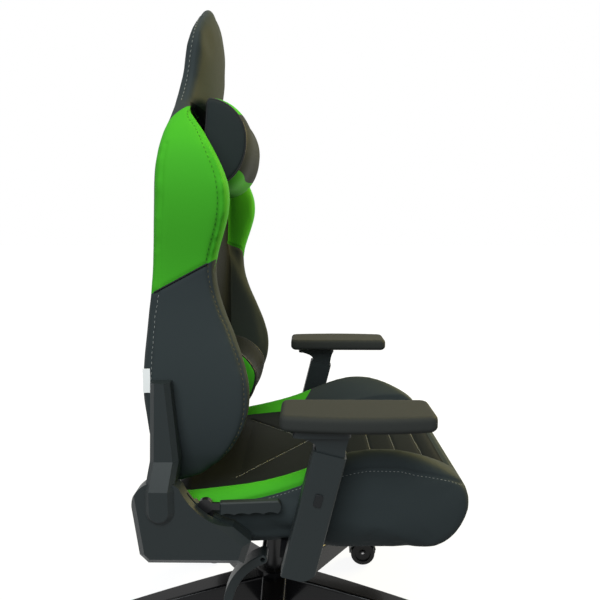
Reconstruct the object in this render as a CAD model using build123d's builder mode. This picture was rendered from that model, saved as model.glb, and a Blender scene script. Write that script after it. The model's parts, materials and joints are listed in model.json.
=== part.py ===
"""A racing-style gaming chair: five-star base on twin-wheel castors, gas lift, tilt mechanism, bucket seat,
reclining backrest on two side hinges, adjustable armrests, head pillow and lumbar pillow.

Millimetres. +Z is up, the sitter faces -Y, and the origin is on the floor under the gas lift's axis.
Left and right are the sitter's own: left is +X, right is -X.
"""

import os
from math import atan2, cos, degrees, radians, sin

from build123d import *

os.makedirs("parts", exist_ok=True)

# Clearances
SLIDE_GAP = 0.3
RUN_GAP = 0.05
SOFT_GAP = 0.3
EAR_GAP = 0.5

# Small edges
EDGE_BREAK = 1
AXLE_PROUD = 2

# Five-star base
ARM_COUNT = 5
ARM_START_DEG = 180
HUB_TOP = 145
HUB_BOTTOM = 74
HUB_R = 40
HUB_WALL = 9
CASTOR_CIRCLE_R = 322
CASTOR_BOSS_R = 19
ARM_ROOT_WIDTH = 52
ARM_ROOT_DROP = 11
ARM_MID_DROP = 25
ARM_END_TOP = 100
ARM_END_BOTTOM = 72
ARM_WALL = 5
ARM_EDGE_R = 5

# Twin-wheel castors
WHEEL_R = 30
WHEEL_WIDTH = 19
WHEEL_EDGE_R = 4
WHEEL_DISH_R = 20
WHEEL_DISH_DEPTH = 4
AXLE_R = 4
CASTOR_TRAIL = 20
CASTOR_WEB = 8
HOOD_GAP = 2
HOOD_WALL = 3
HOOD_START_DEG = 12
HOOD_END_DEG = 160
STEM_R = 5.5
STEM_BOSS_R = 12
STEM_DEPTH_IN_ARM = 24
STEM_DEPTH_IN_HOOD = 12
CASTOR_SPREAD_DEG = 35

# Gas lift
LIFT_TUBE_R = 25
LIFT_TUBE_TAPER = 1.5
LIFT_TUBE_FLOOR = 8
LIFT_TUBE_TOP = 256
LIFT_COLUMN_R = 14
LIFT_COLUMN_BOTTOM = 112

# Seat frame and tilt mechanism
SEAT_BOTTOM = 326
PLATE = 6
MECH_BOTTOM = 262
MECH_HALF_WIDTH = 75
MECH_FRONT = -100
MECH_REAR = 72
MECH_FRONT_TOP = 314
MECH_REAR_TOP = 286
MECH_WALL = 3
SOCKET_TOP = 300
SOCKET_WALL = 8
TILT_AXLE_Y = -60
TILT_AXLE_Z = 306
TILT_AXLE_R = 6
EAR_THICKNESS = 4
EAR_R = 13
SEAT_PLATE_HALF_WIDTH = 104
SEAT_PLATE_FRONT = -112
SEAT_PLATE_REAR = 84
BOLT_R = 4
BOLT_HEAD_R = 6.5
BOLT_HEAD = 5
BOLT_REACH = 16
PLATE_BOLT_X = 92
PLATE_BOLT_FRONT = -92
PLATE_BOLT_REAR = 62
FRAME_HALF_WIDTH = 176
FRAME_BOLT_INSET = 16
FRAME_BOLT_X = FRAME_HALF_WIDTH - FRAME_BOLT_INSET
FRAME_FRONT = -298
FRAME_REAR = 134
FRAME_TUBE = 28
FRAME_HEIGHT = 20
KNOB_R = 26
KNOB_HEIGHT = 34
KNOB_STEM_R = 6
KNOB_GRIPS = 12
KNOB_GRIP_R = 3
KNOB_Y = -76
KNOB_STEM_RISE = 12

# Height and tilt lever, on the sitter's right
LEVER_Y = 8
LEVER_Z = 284
LEVER_ROD_R = 4
LEVER_BALL_R = 8
LEVER_START_X = -42
LEVER_END_X = -214
PADDLE_WIDTH = 34
PADDLE_THICKNESS = 8
PADDLE_DROP = 72
PADDLE_BEND_BACK = 37
PADDLE_BEND_DROP = 26
PADDLE_BACK = 60
PADDLE_EDGE_R = 2

# Seat cushion: one moulded body with raised sides
SEAT_HALF_WIDTH = 262
SEAT_FRONT = -338
SEAT_NOSE_Z = 396
SEAT_RAKE = 0.2
SEAT_PEAK_Y = -192
SEAT_PEAK_Z = 490
SEAT_BROW_Y = -296
SEAT_BROW_Z = 456
SEAT_FLANK_Y = -50
SEAT_FLANK_Z = 446
SEAT_REAR = 156
SEAT_REAR_Z = 398
SEAT_EDGE_R = 20
SEAT_PAN_INSET = 78
SEAT_PAN_HALF = SEAT_HALF_WIDTH - SEAT_PAN_INSET
SEAT_RIDGE_INSET = 18
SEAT_RIDGE_HALF = SEAT_HALF_WIDTH - SEAT_RIDGE_INSET
SEAT_PAN_REAR_Z = 390
SEAT_PAN_FRONT_Z = 428
CHANNEL_COUNT = 10
CHANNEL_CROWN = 4

# Backrest cushion, upright as it stands at rest
BACK_BOTTOM = 437
LUMBAR_LOW_Z = 503
LUMBAR_Z = 565
LUMBAR_HIGH_Z = 604
WAIST_Z = 788
SHOULDER_Z = 902
COLLAR_Z = 990
SHOULDER_TIP_Z = 1060
HEAD_MID_Z = 1150
BACK_TOP = 1263
REAR_BOTTOM_Y = 190
REAR_LUMBAR_Y = 200
REAR_WAIST_Y = 183
REAR_SHOULDER_Y = 171
REAR_TIP_Y = 162
REAR_HEAD_Y = 148
REAR_CROWN_Y = 130
WING_FOOT_Y = 108
WING_LOW_Y = 43
WING_LUMBAR_Y = 25
WING_WAIST_Y = 83
WING_SHOULDER_Y = 56
WING_COLLAR_Y = 92
HEAD_CHIN_Y = 122
HEAD_FACE_Y = 108
HEAD_CROWN_Y = 100
HEAD_CROWN_DROP = 22
PAD_BOTTOM_Y = 128
PAD_LUMBAR_Y = 130
PAD_WAIST_Y = 120
PAD_SHOULDER_Y = 116
BACK_BOTTOM_INSET = 36
BACK_HALF_BOTTOM = SEAT_HALF_WIDTH - BACK_BOTTOM_INSET
BACK_LUMBAR_INSET = 6
BACK_HALF_LUMBAR = SEAT_HALF_WIDTH - BACK_LUMBAR_INSET
BACK_WAIST_INSET = 19
BACK_HALF_WAIST = SEAT_HALF_WIDTH - BACK_WAIST_INSET
BACK_SHOULDER_PROUD = 2
BACK_HALF_SHOULDER = SEAT_HALF_WIDTH + BACK_SHOULDER_PROUD
BACK_COLLAR_INSET = 16
BACK_HALF_COLLAR = SEAT_HALF_WIDTH - BACK_COLLAR_INSET
BACK_TIP_INSET = 72
BACK_HALF_TIP = SEAT_HALF_WIDTH - BACK_TIP_INSET
HEAD_HALF_LOW = 156
HEAD_HALF_MID = 148
HEAD_HALF_TOP = 100
HEAD_TOP_DROP = 40
HEAD_TOP_RISE = 2
HEAD_CORNER_DROP = 26
VALLEY_INSET = 102
VALLEY_HALF = SEAT_HALF_WIDTH - VALLEY_INSET
VALLEY_RIDGE_INSET = 36
VALLEY_RIDGE_HALF = SEAT_HALF_WIDTH - VALLEY_RIDGE_INSET
HARNESS_INSET = 50
HARNESS_X = BACK_HALF_TIP - HARNESS_INSET
HARNESS_Z = 1020
HARNESS_WIDTH = 86
HARNESS_HEIGHT = 38
HARNESS_TILT_DEG = 14
HARNESS_CORNER_R = 14
BACK_FRAME_INSET = 62
BACK_FRAME_X = SEAT_HALF_WIDTH - BACK_FRAME_INSET
BACK_FRAME_TUBE = 20
BACK_FRAME_LOW_Z = 474
BACK_FRAME_TOP_Z = 900
BACK_FRAME_LOW_Y = 165
BACK_FRAME_TOP_Y = 146

# Recline hinge, both sides
PIVOT_Y = 165
PIVOT_Z = 405
PIVOT_R = 8
HINGE_SEAT_GAP = 2
HINGE_UPPER_X = SEAT_HALF_WIDTH + HINGE_SEAT_GAP
HINGE_PLATE = 5
HINGE_PLATE_GAP = 3
HINGE_ROUND_R = 26
HINGE_UPPER_TOP = 580
HINGE_UPPER_WIDTH = 20
HINGE_FOOT_INSET = 32
HINGE_FOOT_INNER_X = FRAME_HALF_WIDTH - HINGE_FOOT_INSET
HINGE_FOOT_FRONT = 40
HINGE_FOOT_RISE = 5 * PLATE
HINGE_FOOT_REAR = 122
COVER_INNER_X = HINGE_UPPER_X
COVER_DEPTH = 36
COVER_OUTER_X = COVER_INNER_X + COVER_DEPTH
COVER_WALL = 3
COVER_BEVEL = 11
COVER_BOTTOM = 312
COVER_ARC_R = 48
COVER_FRONT_Y = 22
COVER_FRONT_Z = 349
COVER_CURVE_Y = 51
COVER_CURVE_Z = 374
COVER_TOP_Y = 132
COVER_TOP_Z = 444
COVER_TOE_Y = 34
COVER_HEEL_Y = 202
COVER_HEEL_CUT = 14
COVER_SAG = 9
COVER_BOSS_Y = 120
COVER_BOSS_Z = 360
COVER_BOSS_R = 7
UPPER_COVER_TOP = 607
UPPER_COVER_INNER_X = SEAT_HALF_WIDTH - HINGE_SEAT_GAP
UPPER_COVER_TIP_INSET = 14
UPPER_COVER_TIP_X = COVER_OUTER_X - UPPER_COVER_TIP_INSET
UPPER_COVER_SLIM_INSET = 10
UPPER_COVER_SLIM_X = COVER_OUTER_X - UPPER_COVER_SLIM_INSET
UPPER_COVER_TAB_PROUD = 9
UPPER_COVER_TAB_X = COVER_OUTER_X + UPPER_COVER_TAB_PROUD
UPPER_COVER_STEP_LOW = 439
UPPER_COVER_STEP_HIGH = 481
UPPER_COVER_TAB_R = 23
UPPER_COVER_WIDE_FRONT = 137
UPPER_COVER_WIDE_REAR = 183
UPPER_COVER_TIP_FRONT = 149
UPPER_COVER_TIP_REAR = 180
UPPER_COVER_BEVEL = 8
OUTWARD = 0.3

# Recline lever, on the sitter's right
RECLINE_LEVER_Y = 96
RECLINE_LEVER_Z = 404
RECLINE_LEVER_PIN_R = 5
RECLINE_LEVER_PLATE = 4
RECLINE_LEVER_HUB_R = 12
RECLINE_LEVER_TONGUE = 12
RECLINE_LEVER_FRONT_Y = 30
HANDLE_REAR_Y = 72
HANDLE_FRONT_Y = -21
HANDLE_TOP_Z = 412
HANDLE_HEIGHT = 21
HANDLE_RISE = 4
HANDLE_THICKNESS = 14
HANDLE_WAVE = 3
HANDLE_WAVES = 4
HANDLE_EDGE_R = 2

# Armrests
POST_SEAT_OFFSET = 52
POST_X = SEAT_HALF_WIDTH + POST_SEAT_OFFSET
POST_Y = -66
POST_Z = 363
POST_LEAN_DEG = 14
POST_WIDTH = 36
POST_DEPTH = 52
POST_WALL = 3
POST_TOP = 151
POST_TOE = -56
POST_TOE_CHAMFER = 15
POST_EDGE_R = 4
POST_FLOOR = 16
UPRIGHT_WIDTH = 10
UPRIGHT_DEPTH = 30
UPRIGHT_START = -40
UPRIGHT_LENGTH = 93
LEG_INSET = 44
LEG_INNER_X = FRAME_HALF_WIDTH - LEG_INSET
LEG_HALF_DEPTH = 32
LEG_BOLT_HALF_PITCH = 20
SLIDER_WALL = 5
SLIDER_BOTTOM = -24
NECK_TOP = 544
NECK_PLATE = 6
NECK_LENGTH = 88
NECK_WIDTH = 50
NECK_FLARE = 8
NECK_Y = -90
ARM_LIFT = 70
SWIVEL_PIN_R = 8
SWIVEL_PIN_DEPTH = 14
SWIVEL_PLATE = 5.5
SWIVEL_LENGTH = 86
SWIVEL_WIDTH = 54
RAIL_WIDTH = 20
RAIL_LENGTH = 64
RAIL_HEIGHT = 6
PAD_LENGTH = 234
PAD_WIDTH = 106
PAD_END_WIDTH = 94
PAD_HEIGHT = 26
PAD_POST_INSET = 5
PAD_X = POST_X - PAD_POST_INSET
PAD_Y = -144
PAD_CORNER_R = 14
PAD_TOP_R = 7
PAD_BOTTOM_CHAMFER = 6
PAD_SLIDE = 20
BUTTON_UP = 78
BUTTON_WIDTH = 12
BUTTON_HEIGHT = 20
BUTTON_PROUD = 3
BUTTON_TRAVEL = 2.5
BUTTON_CORNER_R = 3
BUTTON_DEPTH = 6

# Pillows
HEAD_PILLOW_HALF = 138
HEAD_PILLOW_BOTTOM = 932
HEAD_PILLOW_TOP = 1080
HEAD_PILLOW_BACK_LOW = 115.5
HEAD_PILLOW_BACK_HIGH = 104.5
HEAD_PILLOW_FRONT = 35
HEAD_PILLOW_END_FRONT = 42
HEAD_PILLOW_BELLY_Z = 990
STRAP_Z = 1006
STRAP_WIDTH = 22
STRAP_THICKNESS = 2
STRAP_X = 113
STRAP_BACK_Y = 169.4
LUMBAR_PILLOW_HALF = 108
LUMBAR_PILLOW_BOTTOM = 478
LUMBAR_PILLOW_TOP = 630
LUMBAR_PILLOW_BACK = 127.5
LUMBAR_PILLOW_FRONT = 22
LUMBAR_PILLOW_END_FRONT = 30
LUMBAR_PILLOW_BELLY_Z = 572
PILLOW_END_SHARE = 0.86
PILLOW_SHOULDER = 0.72
BELLY_BEND = 0.27



def keep(builder, name):
    """Labels a finished piece and writes it as its own file."""
    builder.part.label = name
    export_step(builder.part, f"parts/{name}.step")


def keep_pair(left, name):
    """Writes a piece made for the left side, and its mirror image for the right side."""
    keep(left, f"{name}_left")
    with BuildPart() as right:
        add(left.part)
        mirror(about=Plane.YZ, mode=Mode.REPLACE)
    keep(right, f"{name}_right")


# Five-star base: a hub with arched arms, open below, each with a socket for a castor stem
ARM_END_R = CASTOR_CIRCLE_R + CASTOR_BOSS_R
ARM_INNER_R = HUB_R - HUB_WALL
STEM_SOCKET_R = STEM_R + RUN_GAP


def arm_plan(inset):
    """The arm seen from above: a tapering beam with a round end, in the current sketch."""
    with BuildLine() as outline:
        Polyline(
            (ARM_INNER_R, ARM_ROOT_WIDTH / 2 - inset),
            (CASTOR_CIRCLE_R, CASTOR_BOSS_R - inset),
            (CASTOR_CIRCLE_R, inset - CASTOR_BOSS_R),
            (ARM_INNER_R, inset - ARM_ROOT_WIDTH / 2),
            close=True,
        )
    make_face(outline.edges())


def arm_side(drop):
    """The arm seen from the side, with its arched top lowered by drop, in the current sketch."""
    with BuildLine() as outline:
        crest = ThreePointArc(
            (ARM_INNER_R, HUB_TOP - ARM_ROOT_DROP - drop),
            ((ARM_INNER_R + ARM_END_R) / 2, HUB_TOP - ARM_MID_DROP - drop),
            (ARM_END_R, ARM_END_TOP - drop),
        )
        Polyline(
            crest @ 1, (ARM_END_R, ARM_END_BOTTOM), (ARM_INNER_R, HUB_BOTTOM), crest @ 0
        )
    make_face(outline.edges())


with BuildPart() as arm_hollow:
    with BuildSketch(Plane.XZ):
        arm_side(ARM_WALL)
    extrude(amount=ARM_ROOT_WIDTH, both=True)
    with BuildSketch(Plane.XY):
        arm_plan(ARM_WALL)
    extrude(amount=HUB_TOP, mode=Mode.INTERSECT)
    with Locations((CASTOR_CIRCLE_R, 0, 0)):
        Cylinder(CASTOR_BOSS_R, 2 * HUB_TOP, mode=Mode.SUBTRACT)
    Cylinder(HUB_R, 2 * HUB_TOP, mode=Mode.SUBTRACT)

with BuildPart() as base_arm:
    with BuildSketch(Plane.XZ):
        arm_side(0)
    extrude(amount=ARM_ROOT_WIDTH, both=True)
    with BuildSketch(Plane.XY):
        arm_plan(0)
        with Locations((CASTOR_CIRCLE_R, 0)):
            Circle(CASTOR_BOSS_R)
    extrude(amount=HUB_TOP, mode=Mode.INTERSECT)
    crest_face = base_arm.faces().sort_by(Axis.Z)[-1]
    fillet(crest_face.edges().filter_by(lambda e: e.length > CASTOR_CIRCLE_R / 2), ARM_EDGE_R)
    add(arm_hollow.part, mode=Mode.SUBTRACT)

with BuildPart() as base_star:
    with Locations((0, 0, HUB_BOTTOM)):
        Cylinder(HUB_R, HUB_TOP - HUB_BOTTOM, align=(Align.CENTER, Align.CENTER, Align.MIN))
    chamfer(base_star.edges().group_by(Axis.Z)[-1], HUB_WALL / 4)
    with PolarLocations(0, ARM_COUNT, start_angle=ARM_START_DEG):
        add(base_arm.part)
    with BuildSketch(Plane.XZ):
        with BuildLine():
            Polyline(
                (0, HUB_BOTTOM),
                (LIFT_TUBE_R - LIFT_TUBE_TAPER + RUN_GAP, HUB_BOTTOM),
                (LIFT_TUBE_R + RUN_GAP, HUB_TOP),
                (0, HUB_TOP),
                close=True,
            )
        make_face()
    revolve(axis=Axis.Z, mode=Mode.SUBTRACT)
    with BuildSketch(Plane.XY.offset(ARM_END_BOTTOM)):
        with PolarLocations(CASTOR_CIRCLE_R, ARM_COUNT, start_angle=ARM_START_DEG):
            Circle(STEM_SOCKET_R)
    extrude(amount=STEM_DEPTH_IN_ARM + RUN_GAP, mode=Mode.SUBTRACT)
keep(base_star, "base_star")

# Castors: made once with the stem on the origin's axis and the axle trailing behind it, then placed
AXLE_Z = WHEEL_R
HOOD_R = WHEEL_R + HOOD_GAP
WHEEL_INNER_Y = CASTOR_WEB / 2 + EAR_GAP
STEM_BOSS_TOP = ARM_END_BOTTOM - SLIDE_GAP
STEM_BOTTOM = STEM_BOSS_TOP - STEM_DEPTH_IN_HOOD
AXLE_LENGTH = 2 * (WHEEL_INNER_Y + WHEEL_WIDTH - WHEEL_DISH_DEPTH)

def hood_sector():
    """The wedge of a hood's side view, from its front edge round over the wheels to its rear edge."""
    half_step = radians(HOOD_END_DEG - HOOD_START_DEG) / 4
    reach = 2 * HOOD_R / cos(half_step)
    angles = (HOOD_START_DEG, (HOOD_START_DEG + HOOD_END_DEG) / 2, HOOD_END_DEG)
    rim = [(reach * cos(radians(a)) - CASTOR_TRAIL, AXLE_Z + reach * sin(radians(a))) for a in angles]
    with BuildLine() as outline:
        Polyline((-CASTOR_TRAIL, AXLE_Z), *rim, close=True)
    make_face(outline.edges(), mode=Mode.INTERSECT)


with BuildPart() as castor_housing:
    with BuildSketch(Plane.XZ):
        with Locations((-CASTOR_TRAIL, AXLE_Z)):
            Circle(HOOD_R + HOOD_WALL)
            Circle(HOOD_R, mode=Mode.SUBTRACT)
        hood_sector()
    extrude(amount=WHEEL_INNER_Y + WHEEL_WIDTH, both=True)
    with Locations((0, 0, STEM_BOSS_TOP)):
        Cylinder(STEM_BOSS_R, STEM_BOSS_TOP - AXLE_Z, align=(Align.CENTER, Align.CENTER, Align.MAX))
    with BuildSketch(Plane.XZ):
        with Locations((-CASTOR_TRAIL, AXLE_Z)):
            Circle(HOOD_R)
    extrude(amount=WHEEL_INNER_Y + WHEEL_WIDTH, both=True, mode=Mode.SUBTRACT)
    with BuildSketch(Plane.XZ):
        with Locations((-CASTOR_TRAIL, AXLE_Z)):
            Circle(HOOD_R + HOOD_WALL / 2)
        with Locations((-CASTOR_TRAIL, AXLE_Z - 2 * AXLE_R)):
            Rectangle(4 * HOOD_R, 2 * HOOD_R, align=(Align.CENTER, Align.MIN), mode=Mode.INTERSECT)
    extrude(amount=CASTOR_WEB / 2, both=True)
    with BuildSketch(Plane.XZ):
        with Locations((-CASTOR_TRAIL, AXLE_Z)):
            Circle(AXLE_R + RUN_GAP)
    extrude(amount=CASTOR_WEB, both=True, mode=Mode.SUBTRACT)
    with Locations((0, 0, STEM_BOSS_TOP)):
        Cylinder(
            STEM_R + RUN_GAP,
            STEM_DEPTH_IN_HOOD,
            align=(Align.CENTER, Align.CENTER, Align.MAX),
            mode=Mode.SUBTRACT,
        )

with BuildPart() as castor_pins:
    with Locations((0, 0, STEM_BOTTOM)):
        Cylinder(
            STEM_R,
            STEM_DEPTH_IN_HOOD + SLIDE_GAP + STEM_DEPTH_IN_ARM,
            align=(Align.CENTER, Align.CENTER, Align.MIN),
        )
    with BuildSketch(Plane.XZ):
        with Locations((-CASTOR_TRAIL, AXLE_Z)):
            Circle(AXLE_R)
    extrude(amount=AXLE_LENGTH / 2, both=True)

with BuildPart() as castor_wheel:
    with BuildSketch(Plane.XZ.offset(WHEEL_INNER_Y)):
        with Locations((-CASTOR_TRAIL, AXLE_Z)):
            Circle(WHEEL_R)
            Circle(AXLE_R + RUN_GAP, mode=Mode.SUBTRACT)
    extrude(amount=WHEEL_WIDTH)
    circles = castor_wheel.edges().filter_by(GeomType.CIRCLE)
    rims = circles.filter_by(lambda e: e.radius > WHEEL_R - WHEEL_EDGE_R)
    fillet(rims, WHEEL_EDGE_R)
    with BuildSketch(Plane.XZ.offset(WHEEL_INNER_Y + WHEEL_WIDTH)):
        with Locations((-CASTOR_TRAIL, AXLE_Z)):
            Circle(WHEEL_DISH_R)
            Circle(2 * AXLE_R, mode=Mode.SUBTRACT)
    extrude(amount=-WHEEL_DISH_DEPTH, mode=Mode.SUBTRACT)

for number in range(ARM_COUNT):
    arm_deg = ARM_START_DEG + 360 / ARM_COUNT * number
    trail_deg = arm_deg + 90 + CASTOR_SPREAD_DEG * (-1) ** number
    stem_x = CASTOR_CIRCLE_R * cos(radians(arm_deg))
    stem_y = CASTOR_CIRCLE_R * sin(radians(arm_deg))
    place = Location((stem_x, stem_y, 0), (0, 0, trail_deg))
    with BuildPart() as placed_housing:
        with Locations(place):
            add(castor_housing.part)
    keep(placed_housing, f"castor_housing_{number + 1}")
    with BuildPart() as placed_pins:
        with Locations(place):
            add(castor_pins.part)
    keep(placed_pins, f"castor_pins_{number + 1}")
    with BuildPart() as placed_wheels:
        with Locations(place):
            add(castor_wheel.part)
            add(mirror(castor_wheel.part, about=Plane.XZ, mode=Mode.PRIVATE))
    keep(placed_wheels, f"castor_wheels_{number + 1}")

# Gas lift: a tapered tube seated in the hub, and the column that slides and turns in it
with BuildPart() as gas_lift_tube:
    with BuildSketch(Plane.XZ):
        with BuildLine():
            Polyline(
                (0, HUB_BOTTOM),
                (LIFT_TUBE_R - LIFT_TUBE_TAPER, HUB_BOTTOM),
                (LIFT_TUBE_R, HUB_TOP),
                (LIFT_TUBE_R, LIFT_TUBE_TOP),
                (LIFT_COLUMN_R + RUN_GAP, LIFT_TUBE_TOP),
                (LIFT_COLUMN_R + RUN_GAP, HUB_BOTTOM + LIFT_TUBE_FLOOR),
                (0, HUB_BOTTOM + LIFT_TUBE_FLOOR),
                close=True,
            )
        make_face()
    revolve(axis=Axis.Z)
keep(gas_lift_tube, "gas_lift_tube")

with BuildPart() as gas_lift_column:
    with Locations((0, 0, LIFT_COLUMN_BOTTOM)):
        Cylinder(
            LIFT_COLUMN_R, SOCKET_TOP - LIFT_COLUMN_BOTTOM, align=(Align.CENTER, Align.CENTER, Align.MIN)
        )
    chamfer(gas_lift_column.edges().group_by(Axis.Z)[-1], EDGE_BREAK)
keep(gas_lift_column, "gas_lift_column")

# Tilt mechanism: a pressed tray on the column, with a cross axle that carries the seat plate
def tray_side(inset):
    """The tray seen from the side, in the current sketch."""
    with BuildLine() as outline:
        Polyline(
            (MECH_FRONT + inset, MECH_BOTTOM + inset),
            (MECH_REAR - inset, MECH_BOTTOM + inset),
            (MECH_REAR - inset, MECH_REAR_TOP + inset),
            (TILT_AXLE_Y + EAR_R, MECH_FRONT_TOP + inset),
            (MECH_FRONT + inset, MECH_FRONT_TOP + inset),
            close=True,
        )
    make_face(outline.edges())


with BuildPart() as mechanism_housing:
    with BuildSketch(Plane.YZ):
        tray_side(0)
    extrude(amount=MECH_HALF_WIDTH, both=True)
    with BuildSketch(Plane.YZ):
        tray_side(MECH_WALL)
    extrude(amount=MECH_HALF_WIDTH - MECH_WALL, both=True, mode=Mode.SUBTRACT)
    with Locations((0, 0, MECH_BOTTOM)):
        Cylinder(
            LIFT_COLUMN_R + SOCKET_WALL,
            SOCKET_TOP - MECH_BOTTOM,
            align=(Align.CENTER, Align.CENTER, Align.MIN),
        )
        Cylinder(
            LIFT_COLUMN_R + RUN_GAP,
            SOCKET_TOP,
            align=(Align.CENTER, Align.CENTER, Align.CENTER),
            mode=Mode.SUBTRACT,
        )
    with BuildSketch(Plane.YZ):
        with Locations((TILT_AXLE_Y, TILT_AXLE_Z)):
            Circle(TILT_AXLE_R + RUN_GAP)
    extrude(amount=SEAT_PLATE_HALF_WIDTH, both=True, mode=Mode.SUBTRACT)
    with BuildSketch(Plane.YZ):
        with Locations((LEVER_Y, LEVER_Z)):
            Circle(LEVER_BALL_R + RUN_GAP)
    extrude(amount=-SEAT_PLATE_HALF_WIDTH, mode=Mode.SUBTRACT)
    with BuildSketch(Plane.XY.offset(MECH_BOTTOM)):
        with Locations((0, KNOB_Y)):
            Circle(KNOB_STEM_R + RUN_GAP)
    extrude(amount=MECH_WALL, mode=Mode.SUBTRACT)
keep(mechanism_housing, "mechanism_housing")

EAR_INNER_X = MECH_HALF_WIDTH + EAR_GAP
TILT_AXLE_HALF = EAR_INNER_X + EAR_THICKNESS + AXLE_PROUD

with BuildPart() as tilt_axle:
    with BuildSketch(Plane.YZ):
        with Locations((TILT_AXLE_Y, TILT_AXLE_Z)):
            Circle(TILT_AXLE_R)
    extrude(amount=TILT_AXLE_HALF, both=True)
keep(tilt_axle, "tilt_axle")

PLATE_BOTTOM = SEAT_BOTTOM - PLATE
PLATE_LENGTH = SEAT_PLATE_REAR - SEAT_PLATE_FRONT
PLATE_MID_Y = (SEAT_PLATE_REAR + SEAT_PLATE_FRONT) / 2
PLATE_BOLT_PITCH = PLATE_BOLT_REAR - PLATE_BOLT_FRONT
PLATE_BOLT_MID_Y = (PLATE_BOLT_REAR + PLATE_BOLT_FRONT) / 2

with BuildPart() as seat_plate:
    with BuildSketch(Plane.XY.offset(PLATE_BOTTOM)):
        with Locations((0, PLATE_MID_Y)):
            RectangleRounded(2 * SEAT_PLATE_HALF_WIDTH, PLATE_LENGTH, 2 * BOLT_HEAD_R)
        with Locations((0, PLATE_BOLT_MID_Y)):
            with GridLocations(2 * PLATE_BOLT_X, PLATE_BOLT_PITCH, 2, 2):
                Circle(BOLT_R + RUN_GAP, mode=Mode.SUBTRACT)
    extrude(amount=PLATE)
    for ear_plane in (Plane.YZ.offset(EAR_INNER_X), Plane.YZ.offset(-EAR_INNER_X - EAR_THICKNESS)):
        with BuildSketch(ear_plane):
            with Locations((TILT_AXLE_Y, TILT_AXLE_Z)):
                Circle(EAR_R)
                Rectangle(2 * EAR_R, PLATE_BOTTOM - TILT_AXLE_Z, align=(Align.CENTER, Align.MIN))
                Circle(TILT_AXLE_R + RUN_GAP, mode=Mode.SUBTRACT)
        extrude(amount=EAR_THICKNESS)
keep(seat_plate, "seat_plate")

# Tension knob below the tray
KNOB_TOP = MECH_BOTTOM - EAR_GAP

with BuildPart() as tension_knob:
    with BuildSketch(Plane.XY.offset(KNOB_TOP)):
        with Locations((0, KNOB_Y)):
            Circle(KNOB_R)
            with PolarLocations(KNOB_R, KNOB_GRIPS):
                Circle(KNOB_GRIP_R, mode=Mode.SUBTRACT)
    extrude(amount=-KNOB_HEIGHT)
    chamfer(tension_knob.faces().sort_by(Axis.Z)[0].edges(), EDGE_BREAK)
    with Locations((0, KNOB_Y, KNOB_TOP)):
        Cylinder(KNOB_STEM_R, KNOB_STEM_RISE, align=(Align.CENTER, Align.CENTER, Align.MIN))
keep(tension_knob, "tension_knob")

# Lift lever on the right: a ball in the tray's wall, the rod that slides in it, and a drooping paddle
LEVER_BALL_X = MECH_WALL / 2 - MECH_HALF_WIDTH

with BuildPart() as lever_ball:
    with Locations((LEVER_BALL_X, LEVER_Y, LEVER_Z)):
        Sphere(LEVER_BALL_R)
    with BuildSketch(Plane.YZ):
        with Locations((LEVER_Y, LEVER_Z)):
            Circle(LEVER_ROD_R + RUN_GAP)
    extrude(amount=-SEAT_PLATE_HALF_WIDTH, mode=Mode.SUBTRACT)
keep(lever_ball, "lever_ball")

with BuildPart() as lift_lever_rod:
    with BuildSketch(Plane.YZ.offset(LEVER_START_X)):
        with Locations((LEVER_Y, LEVER_Z)):
            Circle(LEVER_ROD_R)
    extrude(amount=LEVER_END_X - LEVER_START_X)
keep(lift_lever_rod, "lift_lever_rod")

with BuildPart() as lift_lever_paddle:
    with BuildSketch(Plane.YZ.offset(LEVER_END_X - PADDLE_WIDTH / 2)):
        with BuildLine():
            spine = ThreePointArc(
                (LEVER_Y, LEVER_Z),
                (LEVER_Y + PADDLE_BEND_BACK, LEVER_Z - PADDLE_BEND_DROP),
                (LEVER_Y + PADDLE_BACK, LEVER_Z - PADDLE_DROP),
            )
            offset(spine, PADDLE_THICKNESS, side=Side.BOTH)
        make_face()
        with Locations((LEVER_Y, LEVER_Z)):
            Circle(LEVER_ROD_R + RUN_GAP, mode=Mode.SUBTRACT)
    extrude(amount=PADDLE_WIDTH)
    fillet(lift_lever_paddle.edges().filter_by(lambda e: e.length > PADDLE_DROP), PADDLE_EDGE_R)
keep(lift_lever_paddle, "lift_lever_paddle")

# Seat frame of welded tube, with its bolts
FRAME_LENGTH = FRAME_REAR - FRAME_FRONT
FRAME_MID_Y = (FRAME_REAR + FRAME_FRONT) / 2
POST_LEAN = radians(POST_LEAN_DEG)
LEG_Z = SEAT_BOTTOM - PLATE / 2
LEG_Y = POST_Y + (POST_Z - LEG_Z) * sin(POST_LEAN) / cos(POST_LEAN)
HINGE_BOLT_MID_Y = (HINGE_FOOT_FRONT + HINGE_FOOT_REAR) / 2


def bolt_places():
    """Where the bolts go up through the plates into the frame."""
    plate = [(x, y) for x in (-PLATE_BOLT_X, PLATE_BOLT_X) for y in (PLATE_BOLT_FRONT, PLATE_BOLT_REAR)]
    sides = [
        (x, middle + step)
        for x in (-FRAME_BOLT_X, FRAME_BOLT_X)
        for middle in (LEG_Y, HINGE_BOLT_MID_Y)
        for step in (-LEG_BOLT_HALF_PITCH, LEG_BOLT_HALF_PITCH)
    ]
    return plate + sides


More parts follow.
